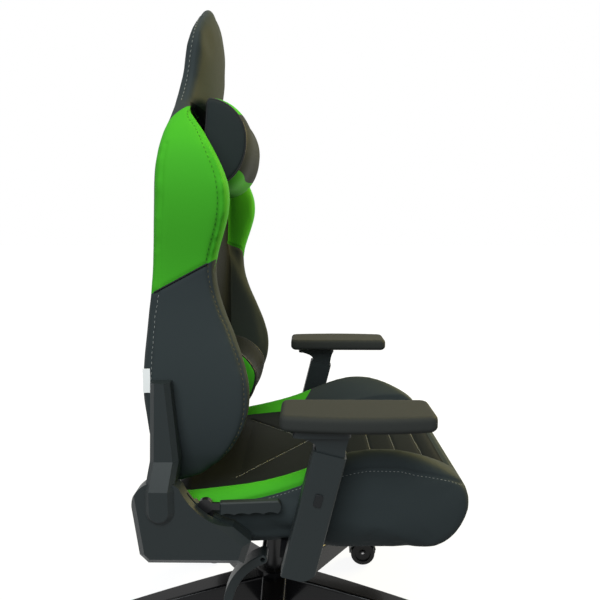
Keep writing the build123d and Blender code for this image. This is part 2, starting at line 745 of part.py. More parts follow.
with BuildPart() as seat_frame:
    with BuildSketch(Plane.XY.offset(SEAT_BOTTOM)):
        with Locations((0, FRAME_MID_Y)):
            RectangleRounded(2 * FRAME_HALF_WIDTH, FRAME_LENGTH, FRAME_TUBE / 2)
            Rectangle(
                2 * (FRAME_HALF_WIDTH - FRAME_TUBE), FRAME_LENGTH - 2 * FRAME_TUBE, mode=Mode.SUBTRACT
            )
        with Locations((0, PLATE_BOLT_FRONT), (0, PLATE_BOLT_REAR)):
            Rectangle(2 * FRAME_HALF_WIDTH - FRAME_TUBE, FRAME_TUBE)
        with Locations(*bolt_places()):
            Circle(BOLT_R + RUN_GAP, mode=Mode.SUBTRACT)
    extrude(amount=FRAME_HEIGHT)
keep(seat_frame, "seat_frame")

with BuildPart() as seat_bolts:
    with BuildSketch(Plane.XY.offset(PLATE_BOTTOM)):
        with Locations(*bolt_places()):
            RegularPolygon(BOLT_HEAD_R, 6)
    extrude(amount=-BOLT_HEAD)
    with BuildSketch(Plane.XY.offset(PLATE_BOTTOM)):
        with Locations(*bolt_places()):
            Circle(BOLT_R)
    extrude(amount=PLATE + BOLT_REACH)
keep(seat_bolts, "seat_bolts")

# Seat cushion: the side view run across the width, hollowed between its raised sides
def pan_arcs():
    """The seat's middle seen from the side: a row of crowned channels from the rear to the front."""
    pan_front = SEAT_FRONT - SEAT_EDGE_R
    points = [
        (
            SEAT_REAR + (pan_front - SEAT_REAR) * i / CHANNEL_COUNT,
            SEAT_PAN_REAR_Z + (SEAT_PAN_FRONT_Z - SEAT_PAN_REAR_Z) * sin(radians(90 * i / CHANNEL_COUNT)),
        )
        for i in range(CHANNEL_COUNT + 1)
    ]
    for (y0, z0), (y1, z1) in zip(points, points[1:]):
        ThreePointArc((y0, z0), ((y0 + y1) / 2, (z0 + z1) / 2 + CHANNEL_CROWN), (y1, z1))
    return points


with BuildPart() as seat_hollow:
    with BuildSketch(Plane.YZ):
        with BuildLine():
            row = pan_arcs()
            Polyline(row[-1], (row[-1][0], 2 * SEAT_PEAK_Z), (SEAT_REAR, 2 * SEAT_PEAK_Z), row[0])
        make_face()
    extrude(amount=SEAT_HALF_WIDTH, both=True)
    with BuildSketch(Plane.XZ.offset(2 * SEAT_FRONT)):
        slope = (SEAT_RIDGE_HALF - SEAT_PAN_HALF) / (SEAT_PEAK_Z - SEAT_PAN_FRONT_Z)
        low_z = SEAT_BOTTOM
        low_half = SEAT_PAN_HALF - slope * (SEAT_PAN_FRONT_Z - low_z)
        high_z = 2 * SEAT_PEAK_Z
        high_half = SEAT_RIDGE_HALF + slope * (high_z - SEAT_PEAK_Z)
        with BuildLine():
            Polyline(
                (-low_half, low_z), (low_half, low_z), (high_half, high_z), (-high_half, high_z), close=True
            )
        make_face()
    extrude(amount=-4 * SEAT_FRONT, mode=Mode.INTERSECT)

with BuildPart() as seat_cushion:
    with BuildSketch(Plane.YZ):
        with BuildLine():
            brow = Spline(
                (SEAT_REAR, SEAT_REAR_Z),
                (SEAT_FLANK_Y, SEAT_FLANK_Z),
                (SEAT_PEAK_Y, SEAT_PEAK_Z),
                (SEAT_BROW_Y, SEAT_BROW_Z),
                (SEAT_FRONT, SEAT_NOSE_Z),
                tangents=((-1, SEAT_RAKE), (0, -1)),
            )
            toe_y = SEAT_FRONT + SEAT_NOSE_Z - SEAT_BOTTOM
            toe = TangentArc(brow @ 1, (toe_y, SEAT_BOTTOM), tangent=brow % 1)
            Polyline(toe @ 1, (SEAT_REAR, SEAT_BOTTOM), brow @ 0)
        make_face()
    extrude(amount=SEAT_HALF_WIDTH, both=True)
    flanks = seat_cushion.faces().filter_by(Axis.X)
    fillet(flanks.edges().filter_by(GeomType.BSPLINE), SEAT_EDGE_R)
    add(seat_hollow.part, mode=Mode.SUBTRACT)
    with BuildSketch(Plane.XY.offset(SEAT_BOTTOM)):
        with Locations((0, FRAME_MID_Y)):
            Rectangle(2 * (FRAME_HALF_WIDTH + SOFT_GAP), FRAME_LENGTH + 2 * SOFT_GAP)
    extrude(amount=FRAME_HEIGHT, mode=Mode.SUBTRACT)
keep(seat_cushion, "seat_cushion")

# Backrest frame of welded tube: two uprights and two cross tubes
def back_bars(grow):
    """The frame's tubes, each grow thicker all round, in the current part."""
    half = BACK_FRAME_TUBE / 2 + grow
    with BuildSketch(Plane.YZ) as low_tube:
        with Locations((BACK_FRAME_LOW_Y, BACK_FRAME_LOW_Z)):
            Rectangle(2 * half, 2 * half)
    extrude(low_tube.sketch, amount=HINGE_UPPER_X, both=True)
    for middle in (BACK_FRAME_X, -BACK_FRAME_X):
        with BuildSketch(Plane.YZ.offset(middle)) as upright:
            with BuildLine():
                Polyline(
                    (BACK_FRAME_LOW_Y - half, BACK_FRAME_LOW_Z),
                    (BACK_FRAME_LOW_Y + half, BACK_FRAME_LOW_Z),
                    (BACK_FRAME_TOP_Y + half, BACK_FRAME_TOP_Z + half),
                    (BACK_FRAME_TOP_Y - half, BACK_FRAME_TOP_Z + half),
                    close=True,
                )
            make_face()
        extrude(upright.sketch, amount=half, both=True)
    with BuildSketch(Plane.YZ) as high_tube:
        with Locations((BACK_FRAME_TOP_Y, BACK_FRAME_TOP_Z)):
            Rectangle(2 * half, 2 * half)
    extrude(high_tube.sketch, amount=BACK_FRAME_X, both=True)


with BuildPart() as backrest_frame:
    back_bars(0)
keep(backrest_frame, "backrest_frame")

with BuildPart() as back_frame_space:
    back_bars(SOFT_GAP)

# Backrest cushion: the side view and the front view of its outline, hollowed between its wings
with BuildPart() as back_valley:
    with BuildSketch(Plane.YZ):
        with BuildLine():
            pad_line = Spline(
                (PAD_BOTTOM_Y, BACK_BOTTOM - SEAT_EDGE_R),
                (PAD_LUMBAR_Y, LUMBAR_Z),
                (PAD_WAIST_Y, WAIST_Z),
                (PAD_SHOULDER_Y, SHOULDER_Z),
                (HEAD_CHIN_Y, SHOULDER_TIP_Z),
            )
            Polyline(
                pad_line @ 1,
                (-HEAD_CHIN_Y, SHOULDER_TIP_Z),
                (-HEAD_CHIN_Y, BACK_BOTTOM - SEAT_EDGE_R),
                pad_line @ 0,
            )
        make_face()
    extrude(amount=BACK_HALF_SHOULDER, both=True)
    with BuildSketch(Plane.XY):
        flare = (VALLEY_RIDGE_HALF - VALLEY_HALF) / (PAD_LUMBAR_Y - WING_LUMBAR_Y)
        deep_half = VALLEY_HALF - flare * (REAR_LUMBAR_Y - PAD_LUMBAR_Y)
        open_half = VALLEY_RIDGE_HALF + flare * (WING_LUMBAR_Y + HEAD_CHIN_Y)
        with BuildLine():
            Polyline(
                (-deep_half, REAR_LUMBAR_Y),
                (deep_half, REAR_LUMBAR_Y),
                (open_half, -HEAD_CHIN_Y),
                (-open_half, -HEAD_CHIN_Y),
                close=True,
            )
        make_face()
    extrude(amount=BACK_TOP, mode=Mode.INTERSECT)

with BuildPart() as backrest_cushion:
    with BuildSketch(Plane.YZ):
        with BuildLine():
            rear_line = Spline(
                (REAR_BOTTOM_Y, BACK_BOTTOM),
                (REAR_LUMBAR_Y, LUMBAR_HIGH_Z),
                (REAR_WAIST_Y, WAIST_Z),
                (REAR_SHOULDER_Y, SHOULDER_Z),
                (REAR_TIP_Y, SHOULDER_TIP_Z),
                (REAR_HEAD_Y, HEAD_MID_Z),
                (REAR_CROWN_Y, BACK_TOP - HEAD_CROWN_DROP),
            )
            crown = ThreePointArc(
                rear_line @ 1,
                ((REAR_CROWN_Y + HEAD_CROWN_Y) / 2, BACK_TOP),
                (HEAD_CROWN_Y, BACK_TOP - HEAD_CROWN_DROP),
            )
            head_line = Spline(
                crown @ 1, (HEAD_FACE_Y, HEAD_MID_Z), (HEAD_CHIN_Y, SHOULDER_TIP_Z)
            )
            wing_line = Spline(
                head_line @ 1,
                (WING_COLLAR_Y, COLLAR_Z),
                (WING_SHOULDER_Y, SHOULDER_Z),
                (WING_WAIST_Y, WAIST_Z),
                (WING_LUMBAR_Y, LUMBAR_Z),
                (WING_LOW_Y, LUMBAR_LOW_Z),
                (WING_FOOT_Y, BACK_BOTTOM),
            )
            Line(wing_line @ 1, rear_line @ 0)
        make_face()
    extrude(amount=BACK_HALF_SHOULDER, both=True)
    with BuildSketch(Plane.XZ.offset(2 * SEAT_FRONT)):
        with BuildLine():
            flank = Spline(
                (BACK_HALF_BOTTOM, BACK_BOTTOM - SEAT_EDGE_R),
                (BACK_HALF_LUMBAR, LUMBAR_Z),
                (BACK_HALF_WAIST, WAIST_Z),
                (BACK_HALF_SHOULDER, SHOULDER_Z),
                (BACK_HALF_COLLAR, COLLAR_Z),
                (BACK_HALF_TIP, SHOULDER_TIP_Z - HEAD_CORNER_DROP / 2),
                (HEAD_HALF_LOW, SHOULDER_TIP_Z + HEAD_CORNER_DROP),
                (HEAD_HALF_MID, HEAD_MID_Z),
            )
            dome = Spline(
                flank @ 1,
                (HEAD_HALF_TOP, BACK_TOP - HEAD_TOP_DROP),
                (0, BACK_TOP + HEAD_TOP_RISE),
                tangents=((0, 1), (-1, 0)),
            )
            Polyline(dome @ 1, (0, BACK_BOTTOM - SEAT_EDGE_R), flank @ 0)
        make_face()
        mirror(about=Plane.YZ)
    extrude(amount=-4 * SEAT_FRONT, mode=Mode.INTERSECT)
    add(back_valley.part, mode=Mode.SUBTRACT)
    with BuildSketch(Plane.XZ.offset(2 * SEAT_FRONT)):
        with Locations(Location((HARNESS_X, HARNESS_Z), HARNESS_TILT_DEG)):
            RectangleRounded(HARNESS_WIDTH, HARNESS_HEIGHT, HARNESS_CORNER_R)
        mirror(about=Plane.YZ)
    extrude(amount=-4 * SEAT_FRONT, mode=Mode.SUBTRACT)
    add(back_frame_space.part, mode=Mode.SUBTRACT)
keep(backrest_cushion, "backrest_cushion")

# Recline hinges: a plate on the backrest frame and a plate on the seat frame, on one pin per side
HINGE_LOWER_X = HINGE_UPPER_X + HINGE_PLATE + HINGE_PLATE_GAP
HINGE_OUTER_X = HINGE_LOWER_X + HINGE_PLATE
LEVER_PLATE_X = HINGE_OUTER_X + EAR_GAP

with BuildPart() as hinge_upper_plate:
    with BuildSketch(Plane.YZ.offset(HINGE_UPPER_X)):
        with Locations((PIVOT_Y, PIVOT_Z)):
            Circle(HINGE_ROUND_R)
            Rectangle(HINGE_UPPER_WIDTH, HINGE_UPPER_TOP - PIVOT_Z, align=(Align.CENTER, Align.MIN))
            Circle(PIVOT_R + RUN_GAP, mode=Mode.SUBTRACT)
    extrude(amount=HINGE_PLATE)
keep_pair(hinge_upper_plate, "hinge_upper_plate")

with BuildPart() as hinge_lower_plate:
    with BuildSketch(Plane.YZ.offset(HINGE_LOWER_X)):
        with Locations((PIVOT_Y, PIVOT_Z)):
            Circle(HINGE_ROUND_R)
        with BuildLine():
            Polyline(
                (PIVOT_Y + HINGE_ROUND_R, PIVOT_Z),
                (HINGE_FOOT_REAR, PLATE_BOTTOM),
                (HINGE_FOOT_FRONT, PLATE_BOTTOM),
                (HINGE_FOOT_FRONT, PLATE_BOTTOM + HINGE_FOOT_RISE),
                (PIVOT_Y - HINGE_ROUND_R, PIVOT_Z),
                close=True,
            )
        make_face()
        with Locations((RECLINE_LEVER_Y, RECLINE_LEVER_Z)):
            Circle(RECLINE_LEVER_HUB_R)
            Rectangle(2 * RECLINE_LEVER_HUB_R, 3 * RECLINE_LEVER_HUB_R, align=(Align.CENTER, Align.MAX))
        with Locations((PIVOT_Y, PIVOT_Z)):
            Circle(PIVOT_R + RUN_GAP, mode=Mode.SUBTRACT)
        with Locations((RECLINE_LEVER_Y, RECLINE_LEVER_Z)):
            Circle(RECLINE_LEVER_PIN_R + RUN_GAP, mode=Mode.SUBTRACT)
    extrude(amount=HINGE_PLATE)
    with BuildSketch(Plane.XY.offset(PLATE_BOTTOM)):
        with Locations((HINGE_FOOT_INNER_X, HINGE_BOLT_MID_Y)):
            Rectangle(
                HINGE_OUTER_X - HINGE_FOOT_INNER_X,
                HINGE_FOOT_REAR - HINGE_FOOT_FRONT,
                align=(Align.MIN, Align.CENTER),
            )
        with Locations(*bolt_places()):
            Circle(BOLT_R + RUN_GAP, mode=Mode.SUBTRACT)
    extrude(amount=PLATE)
keep_pair(hinge_lower_plate, "hinge_lower_plate")

with BuildPart() as hinge_pins:
    for inner in (HINGE_UPPER_X - EAR_GAP, -HINGE_OUTER_X - EAR_GAP):
        with BuildSketch(Plane.YZ.offset(inner)):
            with Locations((PIVOT_Y, PIVOT_Z)):
                Circle(PIVOT_R)
        extrude(amount=HINGE_OUTER_X - HINGE_UPPER_X + 2 * EAR_GAP)
keep(hinge_pins, "hinge_pins")

# Hinge covers: the lower one on the seat, the upper one on the backrest and lapping over its outside
def lower_cover_outline():
    """The lower cover seen from the side, in the current sketch."""
    arc_start = (PIVOT_Y + COVER_ARC_R, PIVOT_Z)
    arc_end_deg = degrees(atan2(COVER_TOP_Z - PIVOT_Z, COVER_TOP_Y - PIVOT_Y))
    arc_end = (
        PIVOT_Y + COVER_ARC_R * cos(radians(arc_end_deg)),
        PIVOT_Z + COVER_ARC_R * sin(radians(arc_end_deg)),
    )
    arc_mid = (
        PIVOT_Y + COVER_ARC_R * cos(radians(arc_end_deg / 2)),
        PIVOT_Z + COVER_ARC_R * sin(radians(arc_end_deg / 2)),
    )
    with BuildLine() as outline:
        ThreePointArc(arc_start, arc_mid, arc_end)
        ThreePointArc(
            arc_end,
            ((arc_end[0] + COVER_CURVE_Y) / 2 + COVER_SAG, (arc_end[1] + COVER_CURVE_Z) / 2 - COVER_SAG),
            (COVER_CURVE_Y, COVER_CURVE_Z),
        )
        Polyline(
            (COVER_CURVE_Y, COVER_CURVE_Z),
            (COVER_FRONT_Y, COVER_FRONT_Z),
            (COVER_TOE_Y, COVER_BOTTOM),
            (COVER_HEEL_Y - COVER_HEEL_CUT, COVER_BOTTOM),
            (COVER_HEEL_Y, COVER_BOTTOM + COVER_HEEL_CUT),
            arc_start,
        )
    make_face(outline.edges())


with BuildPart() as hinge_cover_lower:
    with BuildSketch(Plane.YZ.offset(COVER_INNER_X)):
        lower_cover_outline()
    extrude(amount=COVER_OUTER_X - COVER_INNER_X)
    rim = hinge_cover_lower.faces().sort_by(Axis.X)[-1].edges()
    chamfer(rim.filter_by(GeomType.LINE), COVER_BEVEL)
    offset(
        amount=-COVER_WALL, openings=hinge_cover_lower.faces().sort_by(Axis.X)[0], kind=Kind.INTERSECTION
    )
    with BuildSketch(Plane.YZ.offset(COVER_OUTER_X - COVER_WALL)):
        with Locations((COVER_BOSS_Y, COVER_BOSS_Z)):
            Circle(COVER_BOSS_R)
    extrude(amount=HINGE_OUTER_X + SLIDE_GAP - COVER_OUTER_X + COVER_WALL)
    with BuildSketch(Plane.YZ.offset(COVER_INNER_X)):
        with Locations((PIVOT_Y, PIVOT_Z)):
            Circle(COVER_ARC_R + COVER_WALL)
            Rectangle(4 * COVER_ARC_R, 2 * COVER_ARC_R, align=(Align.CENTER, Align.MIN), mode=Mode.INTERSECT)
    extrude(amount=HINGE_LOWER_X - COVER_INNER_X, mode=Mode.SUBTRACT)
    with BuildSketch(Plane.YZ.offset(COVER_INNER_X)):
        with Locations((RECLINE_LEVER_Y, RECLINE_LEVER_Z)):
            lobe_r = RECLINE_LEVER_HUB_R + EAR_GAP
            Circle(lobe_r)
            Rectangle(2 * lobe_r, 2 * lobe_r, align=(Align.CENTER, Align.MAX))
    extrude(amount=HINGE_OUTER_X + SLIDE_GAP - COVER_INNER_X, mode=Mode.SUBTRACT)

with BuildPart() as hinge_cover_lower_right:
    add(hinge_cover_lower.part)
    mirror(about=Plane.YZ, mode=Mode.REPLACE)
    with BuildSketch(Plane.YZ.offset(-LEVER_PLATE_X + EAR_GAP)):
        with Locations((RECLINE_LEVER_Y, RECLINE_LEVER_Z)):
            Circle(RECLINE_LEVER_Y - HANDLE_REAR_Y + RECLINE_LEVER_HUB_R)
    extrude(amount=-RECLINE_LEVER_PLATE - 2 * EAR_GAP, mode=Mode.SUBTRACT)
keep(hinge_cover_lower, "hinge_cover_lower_left")
keep(hinge_cover_lower_right, "hinge_cover_lower_right")

with BuildPart() as hinge_cover_upper:
    with BuildSketch(Plane.YZ.offset(UPPER_COVER_INNER_X)):
        with BuildLine():
            tab_rear = (PIVOT_Y + UPPER_COVER_TAB_R, PIVOT_Z)
            tab_front = (PIVOT_Y - UPPER_COVER_TAB_R, PIVOT_Z)
            ThreePointArc(tab_rear, (PIVOT_Y, PIVOT_Z - UPPER_COVER_TAB_R), tab_front)
            Polyline(
                tab_front,
                (PIVOT_Y - UPPER_COVER_TAB_R, UPPER_COVER_STEP_LOW),
                (UPPER_COVER_WIDE_FRONT, UPPER_COVER_STEP_HIGH),
                (UPPER_COVER_TIP_FRONT, UPPER_COVER_TOP),
                (UPPER_COVER_TIP_REAR, UPPER_COVER_TOP),
                (UPPER_COVER_WIDE_REAR, UPPER_COVER_STEP_HIGH),
                (PIVOT_Y + UPPER_COVER_TAB_R, UPPER_COVER_STEP_LOW),
                tab_rear,
            )
        make_face()
    extrude(amount=UPPER_COVER_TAB_X - UPPER_COVER_INNER_X)
    with BuildSketch(Plane.XZ):
        with BuildLine():
            Polyline(
                (UPPER_COVER_INNER_X, PIVOT_Z - 2 * UPPER_COVER_TAB_R),
                (UPPER_COVER_TAB_X, PIVOT_Z - 2 * UPPER_COVER_TAB_R),
                (UPPER_COVER_TAB_X, UPPER_COVER_STEP_LOW),
                (UPPER_COVER_SLIM_X, UPPER_COVER_STEP_HIGH),
                (UPPER_COVER_TIP_X, UPPER_COVER_TOP),
                (UPPER_COVER_INNER_X, UPPER_COVER_TOP),
                close=True,
            )
        make_face()
    extrude(amount=-2 * PIVOT_Y, mode=Mode.INTERSECT)
    outer_faces = hinge_cover_upper.faces().filter_by(lambda f: f.normal_at().X > OUTWARD)
    side_edges = outer_faces.edges().filter_by(lambda e: abs(e.center().Y - PIVOT_Y) > HINGE_UPPER_WIDTH / 2)
    chamfer(side_edges, UPPER_COVER_BEVEL)
    with BuildSketch(Plane.YZ.offset(UPPER_COVER_INNER_X)):
        with Locations((PIVOT_Y, PIVOT_Z)):
            Circle(COVER_ARC_R + EAR_GAP)
    extrude(amount=COVER_OUTER_X + SLIDE_GAP - UPPER_COVER_INNER_X, mode=Mode.SUBTRACT)
    with BuildSketch(Plane.YZ.offset(UPPER_COVER_INNER_X)):
        with Locations((PIVOT_Y, PIVOT_Z)):
            Rectangle(
                HINGE_UPPER_WIDTH + 2 * SLIDE_GAP,
                HINGE_UPPER_TOP + SLIDE_GAP - PIVOT_Z,
                align=(Align.CENTER, Align.MIN),
            )
    extrude(amount=HINGE_UPPER_X + HINGE_PLATE + SLIDE_GAP - UPPER_COVER_INNER_X, mode=Mode.SUBTRACT)
keep_pair(hinge_cover_upper, "hinge_cover_upper")

# Recline lever on the right: a steel plate with its pin, and a grip with finger waves below
with BuildPart() as recline_lever_plate:
    with BuildSketch(Plane.YZ.offset(-LEVER_PLATE_X)):
        with Locations((RECLINE_LEVER_Y, RECLINE_LEVER_Z)):
            Circle(RECLINE_LEVER_HUB_R)
            Rectangle(
                RECLINE_LEVER_Y - RECLINE_LEVER_FRONT_Y,
                RECLINE_LEVER_TONGUE,
                align=(Align.MAX, Align.CENTER),
            )
    extrude(amount=-RECLINE_LEVER_PLATE)
    with BuildSketch(Plane.YZ.offset(-LEVER_PLATE_X)):
        with Locations((RECLINE_LEVER_Y, RECLINE_LEVER_Z)):
            Circle(RECLINE_LEVER_PIN_R)
    extrude(amount=EAR_GAP + HINGE_PLATE)
keep(recline_lever_plate, "recline_lever_plate")

HANDLE_MID_X = -LEVER_PLATE_X - RECLINE_LEVER_PLATE / 2
HANDLE_LENGTH = HANDLE_REAR_Y - HANDLE_FRONT_Y

with BuildPart() as recline_lever_handle:
    with BuildSketch(Plane.YZ.offset(HANDLE_MID_X - HANDLE_THICKNESS / 2)):
        with BuildLine():
            low_z = HANDLE_TOP_Z - HANDLE_HEIGHT
            wave = HANDLE_LENGTH / HANDLE_WAVES
            rise = HANDLE_RISE / HANDLE_WAVES
            for i in range(HANDLE_WAVES):
                rear_end = (HANDLE_REAR_Y - wave * i, low_z + rise * i)
                front_end = (rear_end[0] - wave, rear_end[1] + rise)
                top_of_wave = (rear_end[0] - wave / 2, rear_end[1] + rise / 2 + HANDLE_WAVE)
                ThreePointArc(rear_end, top_of_wave, front_end)
            ThreePointArc(
                (HANDLE_FRONT_Y, low_z + HANDLE_RISE),
                (HANDLE_FRONT_Y - HANDLE_HEIGHT / 4, HANDLE_TOP_Z + HANDLE_RISE - HANDLE_HEIGHT / 2),
                (HANDLE_FRONT_Y, HANDLE_TOP_Z + HANDLE_RISE),
            )
            Polyline(
                (HANDLE_FRONT_Y, HANDLE_TOP_Z + HANDLE_RISE),
                (HANDLE_REAR_Y, HANDLE_TOP_Z),
                (HANDLE_REAR_Y, low_z),
            )
        make_face()
    extrude(amount=HANDLE_THICKNESS)
    chamfer(recline_lever_handle.faces().filter_by(Axis.X).edges().filter_by(GeomType.LINE), HANDLE_EDGE_R)
    with BuildSketch(Plane.YZ.offset(-LEVER_PLATE_X + RUN_GAP)):
        with Locations((HANDLE_REAR_Y, RECLINE_LEVER_Z)):
            Rectangle(
                HANDLE_REAR_Y - RECLINE_LEVER_FRONT_Y + RUN_GAP,
                RECLINE_LEVER_TONGUE + 2 * RUN_GAP,
                align=(Align.MAX, Align.CENTER),
            )
    extrude(amount=-RECLINE_LEVER_PLATE - 2 * RUN_GAP, mode=Mode.SUBTRACT)
keep(recline_lever_handle, "recline_lever_handle")

# Armrests, made for the left side on the leaning axis of the post
POST_AXIS = (0, -sin(POST_LEAN), cos(POST_LEAN))
POST_PLANE = Plane(origin=(POST_X, POST_Y, POST_Z), x_dir=(1, 0, 0), z_dir=POST_AXIS)
POST_OUTER_X = POST_X + POST_WIDTH / 2
CAVITY_WIDTH = POST_WIDTH - 2 * POST_WALL
CAVITY_DEPTH = POST_DEPTH - 2 * POST_WALL
CAVITY_FLOOR = POST_TOE + POST_FLOOR
TONGUE_OUTER_X = POST_X + UPRIGHT_WIDTH / 2


def post_point(across, along):
    """A point in the side view, given in the leaning post's own directions."""
    y = POST_Y + across * cos(POST_LEAN) - along * sin(POST_LEAN)
    z = POST_Z + across * sin(POST_LEAN) + along * cos(POST_LEAN)
    return (y, z)


with BuildPart() as armrest_bracket:
    with BuildSketch(Plane.XY.offset(PLATE_BOTTOM)):
        with Locations((LEG_INNER_X, LEG_Y)):
            Rectangle(
                POST_X - POST_WIDTH / 2 - EAR_GAP - LEG_INNER_X,
                2 * LEG_HALF_DEPTH,
                align=(Align.MIN, Align.CENTER),
            )
            Rectangle(TONGUE_OUTER_X - LEG_INNER_X, UPRIGHT_DEPTH, align=(Align.MIN, Align.CENTER))
        with Locations(*bolt_places()):
            Circle(BOLT_R + RUN_GAP, mode=Mode.SUBTRACT)
    extrude(amount=PLATE)
    with BuildSketch(POST_PLANE.offset(UPRIGHT_START)):
        Rectangle(UPRIGHT_WIDTH, UPRIGHT_DEPTH)
    extrude(amount=UPRIGHT_LENGTH)
keep_pair(armrest_bracket, "armrest_bracket")

BUTTON_PLANE = Plane(
    origin=(POST_OUTER_X + BUTTON_PROUD - BUTTON_DEPTH, *post_point(0, BUTTON_UP)),
    x_dir=(0, cos(POST_LEAN), sin(POST_LEAN)),
    z_dir=(1, 0, 0),
)

with BuildPart() as armrest_casing:
    with BuildSketch(POST_PLANE.offset(POST_TOE)):
        Rectangle(POST_WIDTH, POST_DEPTH)
    extrude(amount=POST_TOP - POST_TOE)
    chamfer(armrest_casing.edges().filter_by(Axis.X).group_by(Axis.Z)[0], POST_TOE_CHAMFER)
    chamfer(armrest_casing.edges().filter_by(Axis.X).group_by(Axis.Z)[0], POST_TOE_CHAMFER / 3)
    long_edges = armrest_casing.edges().filter_by(lambda e: e.length > POST_TOP)
    fillet(long_edges, POST_EDGE_R)
    with BuildSketch(POST_PLANE.offset(CAVITY_FLOOR)):
        Rectangle(CAVITY_WIDTH, CAVITY_DEPTH)
    extrude(amount=POST_TOP - CAVITY_FLOOR, mode=Mode.SUBTRACT)
    with BuildSketch(Plane.XY.offset(PLATE_BOTTOM - SLIDE_GAP)):
        with Locations((LEG_INNER_X, LEG_Y)):
            Rectangle(
                TONGUE_OUTER_X + SLIDE_GAP - LEG_INNER_X,
                UPRIGHT_DEPTH + 2 * SLIDE_GAP,
                align=(Align.MIN, Align.CENTER),
            )
    extrude(amount=PLATE + 2 * SLIDE_GAP, mode=Mode.SUBTRACT)
    with BuildSketch(BUTTON_PLANE):
        RectangleRounded(BUTTON_WIDTH + 2 * RUN_GAP, BUTTON_HEIGHT + 2 * RUN_GAP, BUTTON_CORNER_R)
    extrude(amount=BUTTON_DEPTH, mode=Mode.SUBTRACT)
keep_pair(armrest_casing, "armrest_casing")

with BuildPart() as armrest_button:
    with BuildSketch(BUTTON_PLANE):
        RectangleRounded(BUTTON_WIDTH, BUTTON_HEIGHT, BUTTON_CORNER_R)
    extrude(amount=BUTTON_DEPTH)
    chamfer(armrest_button.faces().sort_by(Axis.X)[-1].edges(), BUTTON_CORNER_R / 4)
keep_pair(armrest_button, "armrest_button")

SLIDER_WIDTH = CAVITY_WIDTH - 2 * SLIDE_GAP
SLIDER_DEPTH = CAVITY_DEPTH - 2 * SLIDE_GAP
UPRIGHT_TOP = UPRIGHT_START + UPRIGHT_LENGTH
NECK_PLATE_BOTTOM = NECK_TOP - NECK_PLATE

with BuildPart() as armrest_slider:
    with BuildSketch(POST_PLANE.offset(SLIDER_BOTTOM)):
        Rectangle(SLIDER_WIDTH, SLIDER_DEPTH)
    extrude(amount=POST_TOP - SLIDER_BOTTOM)
    with BuildSketch(Plane.YZ.offset(POST_X - SLIDER_WIDTH / 2)):
        with BuildLine():
            rear_low = post_point(SLIDER_DEPTH / 2, POST_TOP)
            front_low = post_point(-SLIDER_DEPTH / 2, POST_TOP)
            rear_high = (NECK_Y + NECK_LENGTH / 2, NECK_PLATE_BOTTOM)
            front_high = (NECK_Y - NECK_LENGTH / 2, NECK_PLATE_BOTTOM)
            rear_bend = (rear_low[0] - NECK_FLARE, NECK_PLATE_BOTTOM - NECK_FLARE)
            front_bend = (front_low[0] - NECK_FLARE / 2, NECK_PLATE_BOTTOM - NECK_FLARE / 2)
            Bezier(rear_low, rear_bend, rear_high)
            Line(rear_high, front_high)
            Bezier(front_high, front_bend, front_low)
            Line(front_low, rear_low)
        make_face()
    extrude(amount=SLIDER_WIDTH)
    with BuildSketch(Plane.XY.offset(NECK_PLATE_BOTTOM)):
        with Locations((POST_X, NECK_Y)):
            RectangleRounded(NECK_WIDTH, NECK_LENGTH, NECK_WIDTH / 5)
    extrude(amount=NECK_PLATE)
    with BuildSketch(POST_PLANE.offset(SLIDER_BOTTOM)):
        Rectangle(SLIDER_WIDTH - 2 * SLIDER_WALL, SLIDER_DEPTH - 2 * SLIDER_WALL)
    extrude(amount=UPRIGHT_TOP + SLIDER_WALL - SLIDER_BOTTOM, mode=Mode.SUBTRACT)
    with BuildSketch(BUTTON_PLANE.offset(-BUTTON_TRAVEL - EAR_GAP)):
        with Locations((0, -ARM_LIFT / 2)):
            Rectangle(BUTTON_WIDTH + 2 * EAR_GAP, BUTTON_HEIGHT + ARM_LIFT + 2 * EAR_GAP)
    extrude(amount=POST_WIDTH, mode=Mode.SUBTRACT)
    with BuildSketch(Plane.XY.offset(NECK_TOP)):
        with Locations((POST_X, NECK_Y)):
            Circle(SWIVEL_PIN_R + RUN_GAP)
    extrude(amount=-SWIVEL_PIN_DEPTH - EAR_GAP, mode=Mode.SUBTRACT)
keep_pair(armrest_slider, "armrest_slider")

SWIVEL_BOTTOM = NECK_TOP + SLIDE_GAP
SWIVEL_TOP = SWIVEL_BOTTOM + SWIVEL_PLATE
PAD_BOTTOM = SWIVEL_TOP + SLIDE_GAP

with BuildPart() as armrest_swivel:
    with BuildSketch(Plane.XY.offset(SWIVEL_BOTTOM)):
        with Locations((POST_X, NECK_Y)):
            RectangleRounded(SWIVEL_WIDTH, SWIVEL_LENGTH, SWIVEL_WIDTH / 5)
    extrude(amount=SWIVEL_PLATE)
    with BuildSketch(Plane.XY.offset(SWIVEL_TOP)):
        with Locations((POST_X, NECK_Y)):
            Rectangle(RAIL_WIDTH, RAIL_LENGTH)
    extrude(amount=RAIL_HEIGHT)
    with BuildSketch(Plane.XY.offset(SWIVEL_BOTTOM)):
        with Locations((POST_X, NECK_Y)):
            Circle(SWIVEL_PIN_R)
    extrude(amount=-SWIVEL_PIN_DEPTH)
keep_pair(armrest_swivel, "armrest_swivel")

